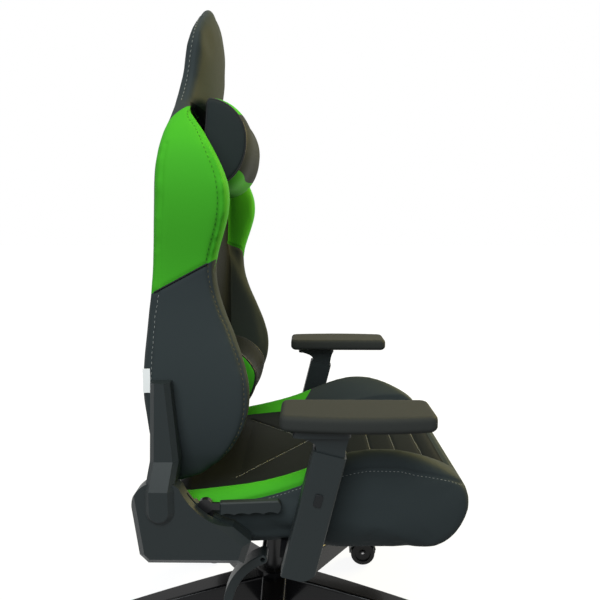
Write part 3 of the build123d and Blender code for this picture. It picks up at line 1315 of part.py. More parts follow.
with BuildPart() as armrest_pad:
    with BuildSketch(Plane.XY.offset(PAD_BOTTOM)):
        with BuildLine():
            rear_y = PAD_Y + PAD_LENGTH / 2
            front_y = PAD_Y - PAD_LENGTH / 2
            inner_x = PAD_X - PAD_WIDTH / 2
            end_x = inner_x + PAD_END_WIDTH
            ThreePointArc((end_x, front_y), (inner_x + PAD_WIDTH, PAD_Y), (end_x, rear_y))
            Polyline((end_x, rear_y), (inner_x, rear_y), (inner_x, front_y), (end_x, front_y))
        make_face()
        fillet(vertices(), PAD_CORNER_R)
    extrude(amount=PAD_HEIGHT)
    fillet(armrest_pad.faces().sort_by(Axis.Z)[-1].edges(), PAD_TOP_R)
    chamfer(armrest_pad.faces().sort_by(Axis.Z)[0].edges(), PAD_BOTTOM_CHAMFER)
    with BuildSketch(Plane.XY.offset(PAD_BOTTOM)):
        with Locations((POST_X, NECK_Y)):
            Rectangle(RAIL_WIDTH + 2 * SLIDE_GAP, RAIL_LENGTH + 2 * PAD_SLIDE + 2 * EAR_GAP)
    extrude(amount=RAIL_HEIGHT, mode=Mode.SUBTRACT)
keep_pair(armrest_pad, "armrest_pad")


# Pillows: crowned bodies drawn in at both ends
def pillow_section(x, share, bottom, top, back_low, back_high, front, belly):
    """One cross-section of a pillow, at x, drawn in about its middle by share."""
    middle = (bottom + top) / 2
    low_z = middle + (bottom - middle) * share
    high_z = middle + (top - middle) * share
    with BuildSketch(Plane.YZ.offset(x)) as section:
        with BuildLine():
            Line((back_low, low_z), (back_high, high_z))
            ThreePointArc(
                (back_high, high_z),
                (front + (back_high - front) * BELLY_BEND, high_z - (high_z - belly) * BELLY_BEND),
                (front, belly),
            )
            ThreePointArc(
                (front, belly),
                (front + (back_low - front) * BELLY_BEND, low_z + (belly - low_z) * BELLY_BEND),
                (back_low, low_z),
            )
        make_face()
    return section.sketch


def pillow_row(half, end_front, front, bottom, top, back_low, back_high, belly):
    """The cross-sections of one pillow, from end to end."""
    row = []
    for place in (-1, -PILLOW_SHOULDER, 0, PILLOW_SHOULDER, 1):
        at_end = abs(place) == 1
        share = PILLOW_END_SHARE if at_end else 1
        depth = end_front if at_end else front
        row.append(pillow_section(half * place, share, bottom, top, back_low, back_high, depth, belly))
    return row


with BuildPart() as head_pillow:
    sections = pillow_row(
        HEAD_PILLOW_HALF,
        HEAD_PILLOW_END_FRONT,
        HEAD_PILLOW_FRONT,
        HEAD_PILLOW_BOTTOM,
        HEAD_PILLOW_TOP,
        HEAD_PILLOW_BACK_LOW,
        HEAD_PILLOW_BACK_HIGH,
        HEAD_PILLOW_BELLY_Z,
    )
    loft(sections)
keep(head_pillow, "head_pillow")

with BuildPart() as lumbar_pillow:
    sections = pillow_row(
        LUMBAR_PILLOW_HALF,
        LUMBAR_PILLOW_END_FRONT,
        LUMBAR_PILLOW_FRONT,
        LUMBAR_PILLOW_BOTTOM,
        LUMBAR_PILLOW_TOP,
        LUMBAR_PILLOW_BACK,
        LUMBAR_PILLOW_BACK,
        LUMBAR_PILLOW_BELLY_Z,
    )
    loft(sections)
keep(lumbar_pillow, "lumbar_pillow")

strap_rise = (STRAP_Z - HEAD_PILLOW_BOTTOM) / (HEAD_PILLOW_TOP - HEAD_PILLOW_BOTTOM)
STRAP_FRONT_Y = (
    HEAD_PILLOW_BACK_LOW + (HEAD_PILLOW_BACK_HIGH - HEAD_PILLOW_BACK_LOW) * strap_rise + SOFT_GAP
)
STRAP_DEPTH = STRAP_BACK_Y - STRAP_FRONT_Y

with BuildPart() as head_pillow_strap:
    with BuildSketch(Plane.XY.offset(STRAP_Z)):
        with Locations((0, STRAP_FRONT_Y)):
            Rectangle(
                2 * (STRAP_X + STRAP_THICKNESS),
                STRAP_DEPTH + STRAP_THICKNESS,
                align=(Align.CENTER, Align.MIN),
            )
            Rectangle(2 * STRAP_X, STRAP_DEPTH, align=(Align.CENTER, Align.MIN), mode=Mode.SUBTRACT)
    extrude(amount=STRAP_WIDTH)
keep(head_pillow_strap, "head_pillow_strap")
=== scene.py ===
"""Looks of a racing-style gaming chair in dark grey and green leatherette.

Metres, +Z up, the sitter faces -Y, and the sitter's right (-X) is the near side of the picture.
"""

import json
import math

import bmesh
import bpy
import numpy as np
from mathutils import Matrix, Vector
from mathutils.bvhtree import BVHTree
from mathutils.kdtree import KDTree


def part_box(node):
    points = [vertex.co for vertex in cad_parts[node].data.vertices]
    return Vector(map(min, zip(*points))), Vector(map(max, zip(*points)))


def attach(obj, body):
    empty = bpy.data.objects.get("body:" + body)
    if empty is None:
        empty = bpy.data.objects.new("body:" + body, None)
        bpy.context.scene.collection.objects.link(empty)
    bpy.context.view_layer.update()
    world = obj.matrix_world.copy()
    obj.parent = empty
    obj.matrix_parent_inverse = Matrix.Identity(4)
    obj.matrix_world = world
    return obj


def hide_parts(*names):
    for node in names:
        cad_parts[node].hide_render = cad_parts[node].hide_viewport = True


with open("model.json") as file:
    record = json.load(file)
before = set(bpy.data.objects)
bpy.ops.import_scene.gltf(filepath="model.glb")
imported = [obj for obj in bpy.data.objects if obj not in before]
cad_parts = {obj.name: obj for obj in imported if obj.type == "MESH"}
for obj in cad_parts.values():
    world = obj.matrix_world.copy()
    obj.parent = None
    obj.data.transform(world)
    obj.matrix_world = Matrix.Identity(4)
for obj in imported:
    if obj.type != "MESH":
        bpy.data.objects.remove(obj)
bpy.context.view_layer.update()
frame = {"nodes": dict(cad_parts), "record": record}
scene = bpy.context.scene
NODES = frame["nodes"]
MM = 0.001
X, Y, Z = 0, 1, 2
SIDES = (-1, 1)

# Leatherette, thread and hard finishes
DARK_GREY = (0.034, 0.042, 0.044)
# Painted shade: the near-black colour on the backrest's middle panel, the seat pan and the lumbar pillow
# stands in for the shade they lie in.
PAINTED_SHADE_BLACK = (0.010, 0.012, 0.0125)
GREEN = (0.052, 0.35, 0.020)
THREAD = (0.26, 0.27, 0.26)
DARK_THREAD = (0.016, 0.10, 0.010)
# Painted highlight: the yellow-brown of the front strip's thread stands in for warm light catching that
# edge.
PAINTED_HIGHLIGHT_THREAD = (0.11, 0.095, 0.045)
PIPING_BLACK = (0.010, 0.011, 0.012)
PLASTIC = (0.017, 0.022, 0.023)
PAD_GREY = (0.036, 0.038, 0.036)
GLOSS_BLACK = (0.004, 0.004, 0.005)
WHEEL_BLACK = (0.008, 0.008, 0.009)
BLACK_STEEL = (0.008, 0.008, 0.009)
BRIGHT_STEEL = (0.42, 0.42, 0.43)
STRAP_BLACK = (0.010, 0.010, 0.011)
TAG_WHITE = (0.88, 0.88, 0.87)
COAT_ROUGHNESS = 0.08
GRAIN_DETAIL = 2
GRAIN_DEPTH = 0.6 * MM
# The 'middle' panel takes the painted shade colour, the 'accent' panel the real green.
PANELS = ("middle", "accent")
PANEL_EDGE = 0.4 * MM

# Sockets of a colour mix
MIX_FACTOR = 0
MIX_FIRST = 6
MIX_SECOND = 7
MIX_RESULT = 2


def finish_material(
    name, colour, rough, metal=0.0, coat=0.0, shine=0.5, grain=0.0, grain_scale=900.0, panels=()
):
    """A plain surface with a fine grain, and other colours where its panel attributes are above zero."""
    material = bpy.data.materials.new(name)
    material.use_nodes = True
    nodes = material.node_tree.nodes
    links = material.node_tree.links
    shader = nodes["Principled BSDF"]
    shader.inputs["Base Color"].default_value = (*colour, 1)
    shader.inputs["Roughness"].default_value = rough
    shader.inputs["Metallic"].default_value = metal
    shader.inputs["Specular IOR Level"].default_value = shine
    shader.inputs["Coat Weight"].default_value = coat
    shader.inputs["Coat Roughness"].default_value = COAT_ROUGHNESS
    if grain:
        spot = nodes.new("ShaderNodeTexCoord")
        pebble = nodes.new("ShaderNodeTexNoise")
        pebble.inputs["Scale"].default_value = grain_scale
        pebble.inputs["Detail"].default_value = GRAIN_DETAIL
        links.new(spot.outputs["Object"], pebble.inputs["Vector"])
        bump = nodes.new("ShaderNodeBump")
        bump.inputs["Strength"].default_value = grain
        bump.inputs["Distance"].default_value = GRAIN_DEPTH
        links.new(pebble.outputs["Fac"], bump.inputs["Height"])
        links.new(bump.outputs["Normal"], shader.inputs["Normal"])
    under = None
    for attribute, panel_colour in zip(PANELS, panels):
        panel = nodes.new("ShaderNodeAttribute")
        panel.attribute_name = attribute
        edge = nodes.new("ShaderNodeMapRange")
        edge.inputs["From Min"].default_value = -PANEL_EDGE
        edge.inputs["From Max"].default_value = PANEL_EDGE
        links.new(panel.outputs["Fac"], edge.inputs["Value"])
        mix = nodes.new("ShaderNodeMix")
        mix.data_type = "RGBA"
        mix.inputs[MIX_FIRST].default_value = (*colour, 1)
        mix.inputs[MIX_SECOND].default_value = (*panel_colour, 1)
        if under:
            links.new(under, mix.inputs[MIX_FIRST])
        links.new(edge.outputs["Result"], mix.inputs[MIX_FACTOR])
        under = mix.outputs[MIX_RESULT]
    if under:
        links.new(under, shader.inputs["Base Color"])
    return material


# Dark grey leatherette with real green accent panels and painted shade on its middle panels.
LEATHER = finish_material(
    "leatherette", DARK_GREY, 0.55, shine=0.015, grain=0.3, panels=(PAINTED_SHADE_BLACK, GREEN)
)
PIPING = finish_material("piping", PIPING_BLACK, 0.5, shine=0.15)
STITCH = finish_material("thread", THREAD, 0.7, shine=0.1)
STITCH_DARK = finish_material("dark_thread", DARK_THREAD, 0.7, shine=0.1)
STITCH_PAINTED_HIGHLIGHT = finish_material("painted_highlight_thread", PAINTED_HIGHLIGHT_THREAD, 0.7, shine=0.1)
PLASTIC_MATT = finish_material("black_plastic", PLASTIC, 0.42, shine=0.18, grain=0.15, grain_scale=1400)
PAD_RUBBER = finish_material("arm_pad", PAD_GREY, 0.55, shine=0.015, grain=0.2, grain_scale=1200)
BASE_GLOSS = finish_material("gloss_base", GLOSS_BLACK, 0.2, coat=0.12, shine=0.15)
WHEEL_PLASTIC = finish_material("wheel_plastic", WHEEL_BLACK, 0.35, shine=0.2)
STEEL_BLACK = finish_material("black_steel", BLACK_STEEL, 0.30, shine=0.3)
STEEL = finish_material("steel", BRIGHT_STEEL, 0.30, metal=1.0)
WEBBING = finish_material("strap", STRAP_BLACK, 0.75, shine=0.1, grain=0.5, grain_scale=700)
TAG = finish_material("woven_tag", TAG_WHITE, 0.8, shine=0.1)

HARD_FINISHES = {
    "black_plastic": PLASTIC_MATT,
    "arm_pad": PAD_RUBBER,
    "gloss_base": BASE_GLOSS,
    "wheel_plastic": WHEEL_PLASTIC,
    "black_steel": STEEL_BLACK,
    "steel": STEEL,
    "strap": WEBBING,
    "upholstery": LEATHER,
}

# Making of the soft covers
MERGE = 0.01 * MM
RELAX = 0.5
DRAPE_STEP = 2 * MM
DRAPE_FAR = 2.0
AIR_FRAMES = 20
COVER_QUALITY = 4
COVER_MASS = 0.2
COVER_STRETCH = 14
COVER_SHEAR = 6
COVER_BEND = 0.8
FINER_LEVELS = 1
PIPING_ROUNDNESS = 3
THREAD_START = 2 * MM
THREAD_LENGTH = 5 * MM
THREAD_GAP = 3.4 * MM
THREAD_RADIUS = 0.55 * MM
THREAD_LIFT = 0.4
SHORTEST_THREAD = 1 * MM
SHORTEST_ROW = 4
OUTLINE_BAND = 7 * MM
TINY = 1e-9


def new_object(name, data):
    obj = bpy.data.objects.new(name, data)
    scene.collection.objects.link(obj)
    return obj


def bake(obj):
    """Replaces an object's mesh with what its modifiers make of it."""
    graph = bpy.context.evaluated_depsgraph_get()
    mesh = bpy.data.meshes.new_from_object(obj.evaluated_get(graph), depsgraph=graph)
    obj.modifiers.clear()
    old = obj.data
    obj.data = mesh
    bpy.data.meshes.remove(old)


def coords(mesh):
    flat = np.empty(len(mesh.vertices) * 3, np.float32)
    mesh.vertices.foreach_get("co", flat)
    return flat.reshape(-1, 3).astype(float)


def set_coords(mesh, points):
    mesh.vertices.foreach_set("co", points.astype(np.float32).ravel())
    mesh.update()


def vertex_normals(mesh):
    flat = np.empty(len(mesh.vertices) * 3, np.float32)
    mesh.vertex_normals.foreach_get("vector", flat)
    return flat.reshape(-1, 3).astype(float)


def remeshed(node, name, voxel, smoothing):
    """An even, rounded copy of a CAD solid."""
    obj = new_object(name, NODES[node].data.copy())
    obj.data.materials.clear()
    shape = bmesh.new()
    shape.from_mesh(obj.data)
    bmesh.ops.remove_doubles(shape, verts=shape.verts, dist=MERGE)
    shape.to_mesh(obj.data)
    shape.free()
    grid = obj.modifiers.new("grid", "REMESH")
    grid.mode = "VOXEL"
    grid.voxel_size = voxel
    relax = obj.modifiers.new("relax", "SMOOTH")
    relax.factor = RELAX
    relax.iterations = smoothing
    bake(obj)
    return obj


def soften(obj, levels, rounds):
    """Rounds the cover over, once for all that lies above each level."""
    shape = bmesh.new()
    shape.from_mesh(obj.data)
    every_way = {"use_axis_x": True, "use_axis_y": True, "use_axis_z": True}
    for level in levels:
        high = [vert for vert in shape.verts if vert.co.z > level]
        for _ in range(rounds):
            bmesh.ops.smooth_vert(shape, verts=high, factor=RELAX, **every_way)
    shape.to_mesh(obj.data)
    shape.free()


def surface(obj):
    """A search tree over an object's faces."""
    shape = bmesh.new()
    shape.from_mesh(obj.data)
    tree = BVHTree.FromBMesh(shape)
    shape.free()
    return tree


def lengths_along(points):
    """How far along a path each of its points lies."""
    steps = np.linalg.norm(np.diff(points, axis=0), axis=1)
    return np.concatenate([[0], np.cumsum(steps)])


def at_lengths(wanted, along, values):
    """A path's values at the wanted lengths along it."""
    return np.stack([np.interp(wanted, along, column) for column in values.T], axis=-1)


def curve_through(points, step):
    """Points a step apart along a smooth curve through the given ones."""
    points = np.array(points, float)
    padded = np.vstack([2 * points[0] - points[1], points, 2 * points[-1] - points[-2]])
    dense = []
    for a, b, c, d in zip(padded, padded[1:], padded[2:], padded[3:]):
        count = max(2, int(np.linalg.norm(c - b) / step) * 2)
        square = 2 * a - 5 * b + 4 * c - d
        cube = 3 * b - a - 3 * c + d
        for t in np.linspace(0, 1, count, endpoint=False):
            dense.append(0.5 * (2 * b + (c - a) * t + square * t**2 + cube * t**3))
    dense.append(points[-1])
    dense = np.array(dense)
    along = lengths_along(dense)
    wanted = np.linspace(0, along[-1], max(2, int(along[-1] / step) + 1))
    return at_lengths(wanted, along, dense)


def drape(tree, points, axis, side):
    """A flat line laid on a surface from one side: its points and the surface normals there."""
    kept = []
    normals = []
    direction = Vector((0, 0, 0))
    direction[axis] = -side
    first, second = (k for k in (X, Y, Z) if k != axis)
    for a, b in curve_through(points, DRAPE_STEP):
        start = Vector((0, 0, 0))
        start[first] = a
        start[second] = b
        start[axis] = side * DRAPE_FAR
        spot, normal, _, _ = tree.ray_cast(start, direction)
        if spot is not None:
            kept.append(spot)
            normals.append(normal)
    return np.array(kept), np.array(normals)


def path_distance(points, paths):
    """How far each point lies from the nearest of some paths."""
    samples = np.vstack(paths)
    tree = KDTree(len(samples))
    for index, spot in enumerate(samples):
        tree.insert(spot, index)
    tree.balance()
    return np.array([tree.find(p)[2] for p in points])


def paths_of(lines):
    """The paths alone of labelled seam lines."""
    return [points for _, (points, _) in lines]


def sink_seams(obj, paths, depth, width):
    """Draws the surface in along seam lines."""
    mesh = obj.data
    points = coords(mesh)
    normals = vertex_normals(mesh)
    near = path_distance(points, paths)
    points -= normals * (depth * np.exp(-((near / width) ** 2)))[:, None]
    set_coords(mesh, points)


def inflate(obj, paths, pin, force, cap):
    """Lets air fill the cover between its seams, which are pinned, up to a cap."""
    start = coords(obj.data)
    pinned = np.nonzero(path_distance(start, paths) < pin)[0]
    group = obj.vertex_groups.new(name="pinned")
    group.add([int(k) for k in pinned], 1.0, "REPLACE")
    cloth = obj.modifiers.new("air", "CLOTH")
    settings = cloth.settings
    settings.quality = COVER_QUALITY
    settings.mass = COVER_MASS
    settings.tension_stiffness = COVER_STRETCH
    settings.compression_stiffness = COVER_STRETCH
    settings.shear_stiffness = COVER_SHEAR
    settings.bending_stiffness = COVER_BEND
    settings.vertex_group_mass = "pinned"
    settings.use_pressure = True
    settings.uniform_pressure_force = force
    settings.effector_weights.gravity = 0
    cloth.point_cache.frame_start = 1
    cloth.point_cache.frame_end = AIR_FRAMES
    for step in range(1, AIR_FRAMES + 1):
        scene.frame_set(step)
    bake(obj)
    moved = coords(obj.data) - start
    length = np.linalg.norm(moved, axis=1)
    share = np.minimum(1, cap / np.maximum(length, TINY))
    set_coords(obj.data, start + moved * share[:, None])
    scene.frame_set(1)


def refine(obj):
    """Rounds the mesh into a finer one."""
    finer = obj.modifiers.new("finer", "SUBSURF")
    finer.levels = FINER_LEVELS
    finer.render_levels = FINER_LEVELS
    bake(obj)
    obj.data.shade_smooth()


def set_panel(obj, name, values):
    """Marks a panel of another colour: inside it the values are above zero."""
    layer = obj.data.attributes.new(name, "FLOAT", "POINT")
    layer.data.foreach_set("value", values.astype(np.float32))


def piping(name, path, radius, closed=True):
    """A round cord along a path."""
    line = bpy.data.curves.new(name, "CURVE")
    line.dimensions = "3D"
    line.bevel_depth = radius
    line.bevel_resolution = PIPING_ROUNDNESS
    spline = line.splines.new("POLY")
    spline.points.add(len(path) - 1)
    for point, spot in zip(spline.points, path):
        point.co = (*spot, 1)
    spline.use_cyclic_u = closed
    obj = new_object(name, line)
    mesh = bpy.data.meshes.new_from_object(obj.evaluated_get(bpy.context.evaluated_depsgraph_get()))
    bpy.data.objects.remove(obj)
    mesh.shade_smooth()
    return mesh


def add_thread(shape, ends, radius):
    """One rounded thread lying on the cover between two points."""
    (start, out_a), (stop, out_b) = ends
    way = stop - start
    if way.length < SHORTEST_THREAD:
        return
    middle = (start + stop) / 2 + (out_a + out_b).normalized() * radius * THREAD_LIFT
    size = Matrix.Diagonal((radius, radius, way.length / 2, 1))
    turn = way.to_track_quat("Z", "Y").to_matrix().to_4x4()
    bmesh.ops.create_uvsphere(
        shape, u_segments=6, v_segments=4, radius=1, matrix=Matrix.Translation(middle) @ turn @ size
    )


def stitches(name, tree, rows, offset, length=THREAD_LENGTH, gap=THREAD_GAP, radius=THREAD_RADIUS):
    """Short threads lying on the cover beside seam lines."""
    mesh = bpy.data.meshes.new(name)
    shape = bmesh.new()
    for points, normals in rows:
        if len(points) < SHORTEST_ROW:
            continue
        row = bmesh.new()
        along = lengths_along(points)
        tangents = np.gradient(points, axis=0)
        for begin in np.arange(THREAD_START, along[-1] - length, length + gap):
            ends = []
            for where in (begin, begin + length):
                beside = np.cross(at_lengths(where, along, normals), at_lengths(where, along, tangents))
                beside /= max(np.linalg.norm(beside), TINY)
                spot = at_lengths(where, along, points) + beside * offset
                found, normal, _, _ = tree.find_nearest(Vector(spot))
                ends.append((found, normal))
            add_thread(row, ends, radius)
        row.to_mesh(mesh)
        row.free()
        shape.from_mesh(mesh)
    shape.to_mesh(mesh)
    shape.free()
    mesh.shade_smooth()
    return mesh


def place(name, mesh, material, body):
    mesh.materials.clear()
    mesh.materials.append(material)
    obj = new_object(name, mesh)
    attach(obj, body)
    return obj


def settle(obj, node, body, material):
    """Marks a finished soft piece as standing for its CAD solid."""
    obj.data.materials.clear()
    obj.data.materials.append(material)
    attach(obj, body)
    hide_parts(node)


def outline(points, level_axis, value_axis, levels, highest, keep=slice(None)):
    """The highest or lowest value at each level among the kept points."""
    chosen = points[keep]
    values = []
    for level in levels:
        band = chosen[np.abs(chosen[:, level_axis] - level) < OUTLINE_BAND][:, value_axis]
        values.append((band.max() if highest else band.min()) if len(band) else np.nan)
    return np.array(values)


# Both cushions
SEAM_PIN = 7 * MM
COVER_AIR = 3.0
COVER_SWELL = 7 * MM
WING_FROM = 150 * MM

# Backrest: wings, head and middle panel
BACK_VOXEL = 6 * MM
BACK_SMOOTHING = 9
HEAD_ROUNDS = 12
HEAD_ROUND_LEVELS = (985 * MM, 1015 * MM, 1045 * MM)
COVER_ROUNDS = 10
FOOT_BULGE = 21 * MM
FOOT_Z = 470 * MM
FOOT_Y = (90 * MM, 150 * MM)
FRONT_SEAM_LEVELS = np.arange(0.470, 1.045, 0.02)
REAR_SEAM_LEVELS = np.arange(0.470, 1.000, 0.03)
HEAD_SEAM_LEVELS = np.arange(1.06, 1.235, 0.02)
BINDING_LEVELS = np.arange(0.70, 1.08, 0.01)
STRIP_LEVELS = (740 * MM, 820 * MM, 950 * MM, 1030 * MM)
FRONT_STRIPS = (7 * MM, 11 * MM, 11 * MM, 8 * MM)
WING_INSIDE = 200 * MM
SHOULDER_Z = 1000 * MM
REAR_STRIP = 20 * MM
REAR_BINDING = 5 * MM
BACK_SEAM_DEPTH = 2.2 * MM
BACK_SEAM_WIDTH = 3.0 * MM
WING_SEAM_BACK = (180 * MM, 746 * MM)
WING_SEAM_FRONT = (92 * MM, 793 * MM)
WING_TIP = (126 * MM, 1053 * MM)
WING_TOP_BACK = (172 * MM, 985 * MM)
WING_TOP_CURVE = 0.6
WING_PIPING = 1.3 * MM
INNER_SEAM_X = 226 * MM
INNER_SEAM_DROP = 12 * MM
INNER_SEAM_RISE = 0.6
MIDDLE_HALF = 166 * MM
HEAD_SEAM_Z = 1060 * MM
WING_THREAD_OFFSET = 3.5 * MM
HEAD_THREAD_OFFSET = 3 * MM


def wing_seam_height(y):
    """Where the green ends on a wing's outer face."""
    share = (WING_SEAM_BACK[0] - y) / (WING_SEAM_BACK[0] - WING_SEAM_FRONT[0])
    return WING_SEAM_BACK[1] + share * (WING_SEAM_FRONT[1] - WING_SEAM_BACK[1])


def inner_seam_height(x):
    """Where the green ends on a wing's inner face."""
    return WING_SEAM_FRONT[1] - INNER_SEAM_DROP + INNER_SEAM_RISE * (INNER_SEAM_X - x)


def back_lines(obj):
    """Seam lines of the backrest, laid on its surface."""
    tree = surface(obj)
    points = coords(obj.data)
    x = np.abs(points[:, X])
    front = outline(points, Z, Y, FRONT_SEAM_LEVELS, False, x > WING_FROM)
    rear = outline(points, Z, Y, REAR_SEAM_LEVELS, True, x > WING_INSIDE)
    head_front = outline(points, Z, Y, HEAD_SEAM_LEVELS, False)
    head_rear = outline(points, Z, Y, HEAD_SEAM_LEVELS, True)
    strip_widths = np.interp(FRONT_SEAM_LEVELS, STRIP_LEVELS, FRONT_STRIPS)
    strip = [*zip(front + strip_widths, FRONT_SEAM_LEVELS), WING_TIP]
    edge = [*zip(rear - REAR_STRIP, REAR_SEAM_LEVELS)]
    head = [*zip((head_front + head_rear) / 2, HEAD_SEAM_LEVELS)]
    lines = []
    for side in SIDES:
        strip_points, strip_normals = drape(tree, strip, X, side)
        least = np.where(strip_points[:, Z] < SHOULDER_Z, WING_INSIDE, 0)
        on_wing = np.abs(strip_points[:, X]) > least
        lines.append(("strip", (strip_points[on_wing], strip_normals[on_wing])))
        lines.append(("edge", drape(tree, edge, X, side)))
        lines.append(("head", drape(tree, head, X, side)))
        lines.append(("wing", drape(tree, [WING_SEAM_BACK, WING_SEAM_FRONT], X, side)))
        inner = [(side * reach, inner_seam_height(reach)) for reach in (INNER_SEAM_X, MIDDLE_HALF)]
        lines.append(("inner", drape(tree, inner, Y, -1)))
    return lines


def dark_stretch(line):
    """The part of a seam line that lies off the green wings."""
    points, normals = line
    off = (points[:, Z] < wing_seam_height(points[:, Y])) | (points[:, Z] > HEAD_SEAM_Z)
    return points[off], normals[off]


def green_stretch(line):
    """The part of a seam line that lies above the wing seam."""
    points, normals = line
    on = points[:, Z] > wing_seam_height(points[:, Y])
    return points[on], normals[on]


def fill_foot(obj):
    """Lets the backrest's foot hang lower at the rear."""
    points = coords(obj.data)
    low = np.clip((FOOT_Z - points[:, Z]) / (FOOT_Z - points[:, Z].min()), 0, 1)
    behind = np.clip((points[:, Y] - FOOT_Y[0]) / (FOOT_Y[1] - FOOT_Y[0]), 0, 1)
    points[:, Z] -= FOOT_BULGE * low**2 * behind
    set_coords(obj.data, points)


def mark_back_panels(obj):
    """Green wings, and a middle panel darkened as painted shade, on dark grey."""
    points = coords(obj.data)
    x = np.abs(points[:, X])
    y = points[:, Y]
    z = points[:, Z]
    outward = vertex_normals(obj.data)[:, X] * np.sign(points[:, X])
    lower = np.where(outward > 0, z - wing_seam_height(y), z - inner_seam_height(x))
    across = np.clip((WING_TOP_BACK[0] - y) / (WING_TOP_BACK[0] - WING_TIP[0]), 0, 1)
    top = WING_TOP_BACK[1] + across**WING_TOP_CURVE * (WING_TIP[1] - WING_TOP_BACK[1]) - z
    binding = np.interp(z, BINDING_LEVELS, outline(points, Z, Y, BINDING_LEVELS, True)) - REAR_BINDING
    beside = x - MIDDLE_HALF
    set_panel(obj, "accent", np.minimum.reduce([lower, top, binding - y, beside]))
    # Painted shade: the middle panel below the head is darkened for the shade it lies in.
    set_panel(obj, "middle", np.minimum(-beside, HEAD_SEAM_Z - z))


def sew_backrest(tree, lines):
    kinds = {label: [line for kind, line in lines if kind == label] for label, _ in lines}
    threads = (
        # Painted highlight: the dark stretch of the front strip is sewn in thread coloured as if lit by
        # warm light.
        ("strip", [dark_stretch(line) for line in kinds["strip"]], 0.0, STITCH_PAINTED_HIGHLIGHT),
        ("strip_green", [green_stretch(line) for line in kinds["strip"]], WING_THREAD_OFFSET, STITCH_DARK),
        ("edge", [dark_stretch(line) for line in kinds["edge"]], 0.0, STITCH),
        ("head", kinds["head"], HEAD_THREAD_OFFSET, STITCH),
    )
    for label, rows, offset, finish in threads:
        mesh = stitches("backrest_thread_" + label, tree, rows, offset)
        place("backrest_thread_" + label, mesh, finish, "backrest")
    for (points, _), label in zip(kinds["wing"], ("right", "left")):
        cord = piping("wing_seam_" + label, points, WING_PIPING, closed=False)
        place("wing_seam_" + label, cord, PIPING, "backrest")


def build_backrest():
    obj = remeshed("backrest_cushion", "backrest_cover", BACK_VOXEL, BACK_SMOOTHING)
    soften(obj, HEAD_ROUND_LEVELS, HEAD_ROUNDS)
    inflate(obj, paths_of(back_lines(obj)), SEAM_PIN, COVER_AIR, COVER_SWELL)
    soften(obj, (0,), COVER_ROUNDS)
    refine(obj)
    fill_foot(obj)
    lines = back_lines(obj)
    sink_seams(obj, paths_of(lines), BACK_SEAM_DEPTH, BACK_SEAM_WIDTH)
    mark_back_panels(obj)
    settle(obj, "backrest_cushion", "backrest", LEATHER)
    tree = surface(obj)
    sew_backrest(tree, lines)
    return tree


# Seat: bucket wings and a channelled pan
SEAT_VOXEL = 6 * MM
SEAT_SMOOTHING = 3
SIDE_SEAM_LEVELS = np.arange(-0.325, 0.135, 0.02)
WING_TOP_LEVELS = np.arange(-0.325, 0.150, 0.01)
STRIP_Y = (-335 * MM, -315 * MM, -250 * MM, -120 * MM, -60 * MM)
STRIP_WIDTHS = (5 * MM, 11 * MM, 28 * MM, 27 * MM, 20 * MM)
NOSE_SEAM_Z = 428 * MM
NOSE_SEAM_HALF = 250 * MM
PAN_SEAM_HALF = 206 * MM
PAN_SEAM_Y = (-300 * MM, -100 * MM, 130 * MM)
PAN_LEAST_Z = 370 * MM
PAN_CURVE = 4
PAN_FLATNESS = 0.75
# Lowest point of the pan that takes the painted shade colour.
SHADED_PAN_LEAST_Z = 360 * MM
RIDGE_HALF = 240 * MM
WALL_FIRMNESS = 0.85
FACING_UP = 0.1
FACING_OUT = 0.15
SEAT_REAR_Y = 110 * MM
SEAT_REAR_FILL = 16 * MM
SKIRT_Z = 370 * MM
SKIRT_Y = (-120 * MM, -30 * MM)
SKIRT_DROP = 8 * MM
SEAT_SEAM_DEPTH = 2.4 * MM
SEAT_SEAM_WIDTH = 3.2 * MM
GREEN_FRONT_Y = -72 * MM
GREEN_FRONT_Z = 450 * MM
GREEN_SLANT = 0.7
CHANNEL_FIRST_Y = -96 * MM
CHANNEL_PITCH = 46.5 * MM
CHANNEL_LINES = 5
CHEVRON_TIP_Y = -73 * MM
CHEVRON_END = (166 * MM, 62 * MM)
PUCKER_Y = (-285 * MM, -215 * MM)
PUCKER_COUNT = 6
PUCKER_HALF = 9 * MM
PUCKER_SLANT = 2.7 * MM
PUCKER_DEPTH = 1.2 * MM
PUCKER_WIDTH = 2.8 * MM
SIDE_THREAD = {"length": 3.6 * MM, "gap": 3 * MM, "radius": 0.4 * MM}
SIDE_THREAD_OFFSET = 3.2 * MM
PAN_THREAD_GAP = 1.2 * MM


def strip_width(y):
    """How far the side seam lies below the wing's top edge: narrow at the nose."""
    return np.interp(y, STRIP_Y, STRIP_WIDTHS)


def wing_top(points, levels):
    return outline(points, Y, Z, levels, True, np.abs(points[:, X]) > WING_FROM)


def seat_lines(obj):
    """Seam lines of the seat, laid on its surface."""
    tree = surface(obj)
    top = wing_top(coords(obj.data), SIDE_SEAM_LEVELS)
    strip = [*zip(SIDE_SEAM_LEVELS, top - strip_width(SIDE_SEAM_LEVELS))]
    lines = []
    for side in SIDES:
        lines.append(("strip", drape(tree, strip, X, side)))
        pan = [(side * PAN_SEAM_HALF, y) for y in PAN_SEAM_Y]
        lines.append(("pan", drape(tree, pan, Z, 1)))
        chevron = [(0, CHEVRON_TIP_Y), (side * CHEVRON_END[0], CHEVRON_END[1])]
        lines.append(("chevron", drape(tree, chevron, Z, 1)))
    for k in range(CHANNEL_LINES):
        y = CHANNEL_FIRST_Y - CHANNEL_PITCH * k
        across = [(-PAN_SEAM_HALF, y), (PAN_SEAM_HALF, y)]
        lines.append(("channel", drape(tree, across, Z, 1)))
    nose = [(x, NOSE_SEAM_Z) for x in (-NOSE_SEAM_HALF, 0, NOSE_SEAM_HALF)]
    lines.append(("nose", drape(tree, nose, Y, -1)))
    return lines


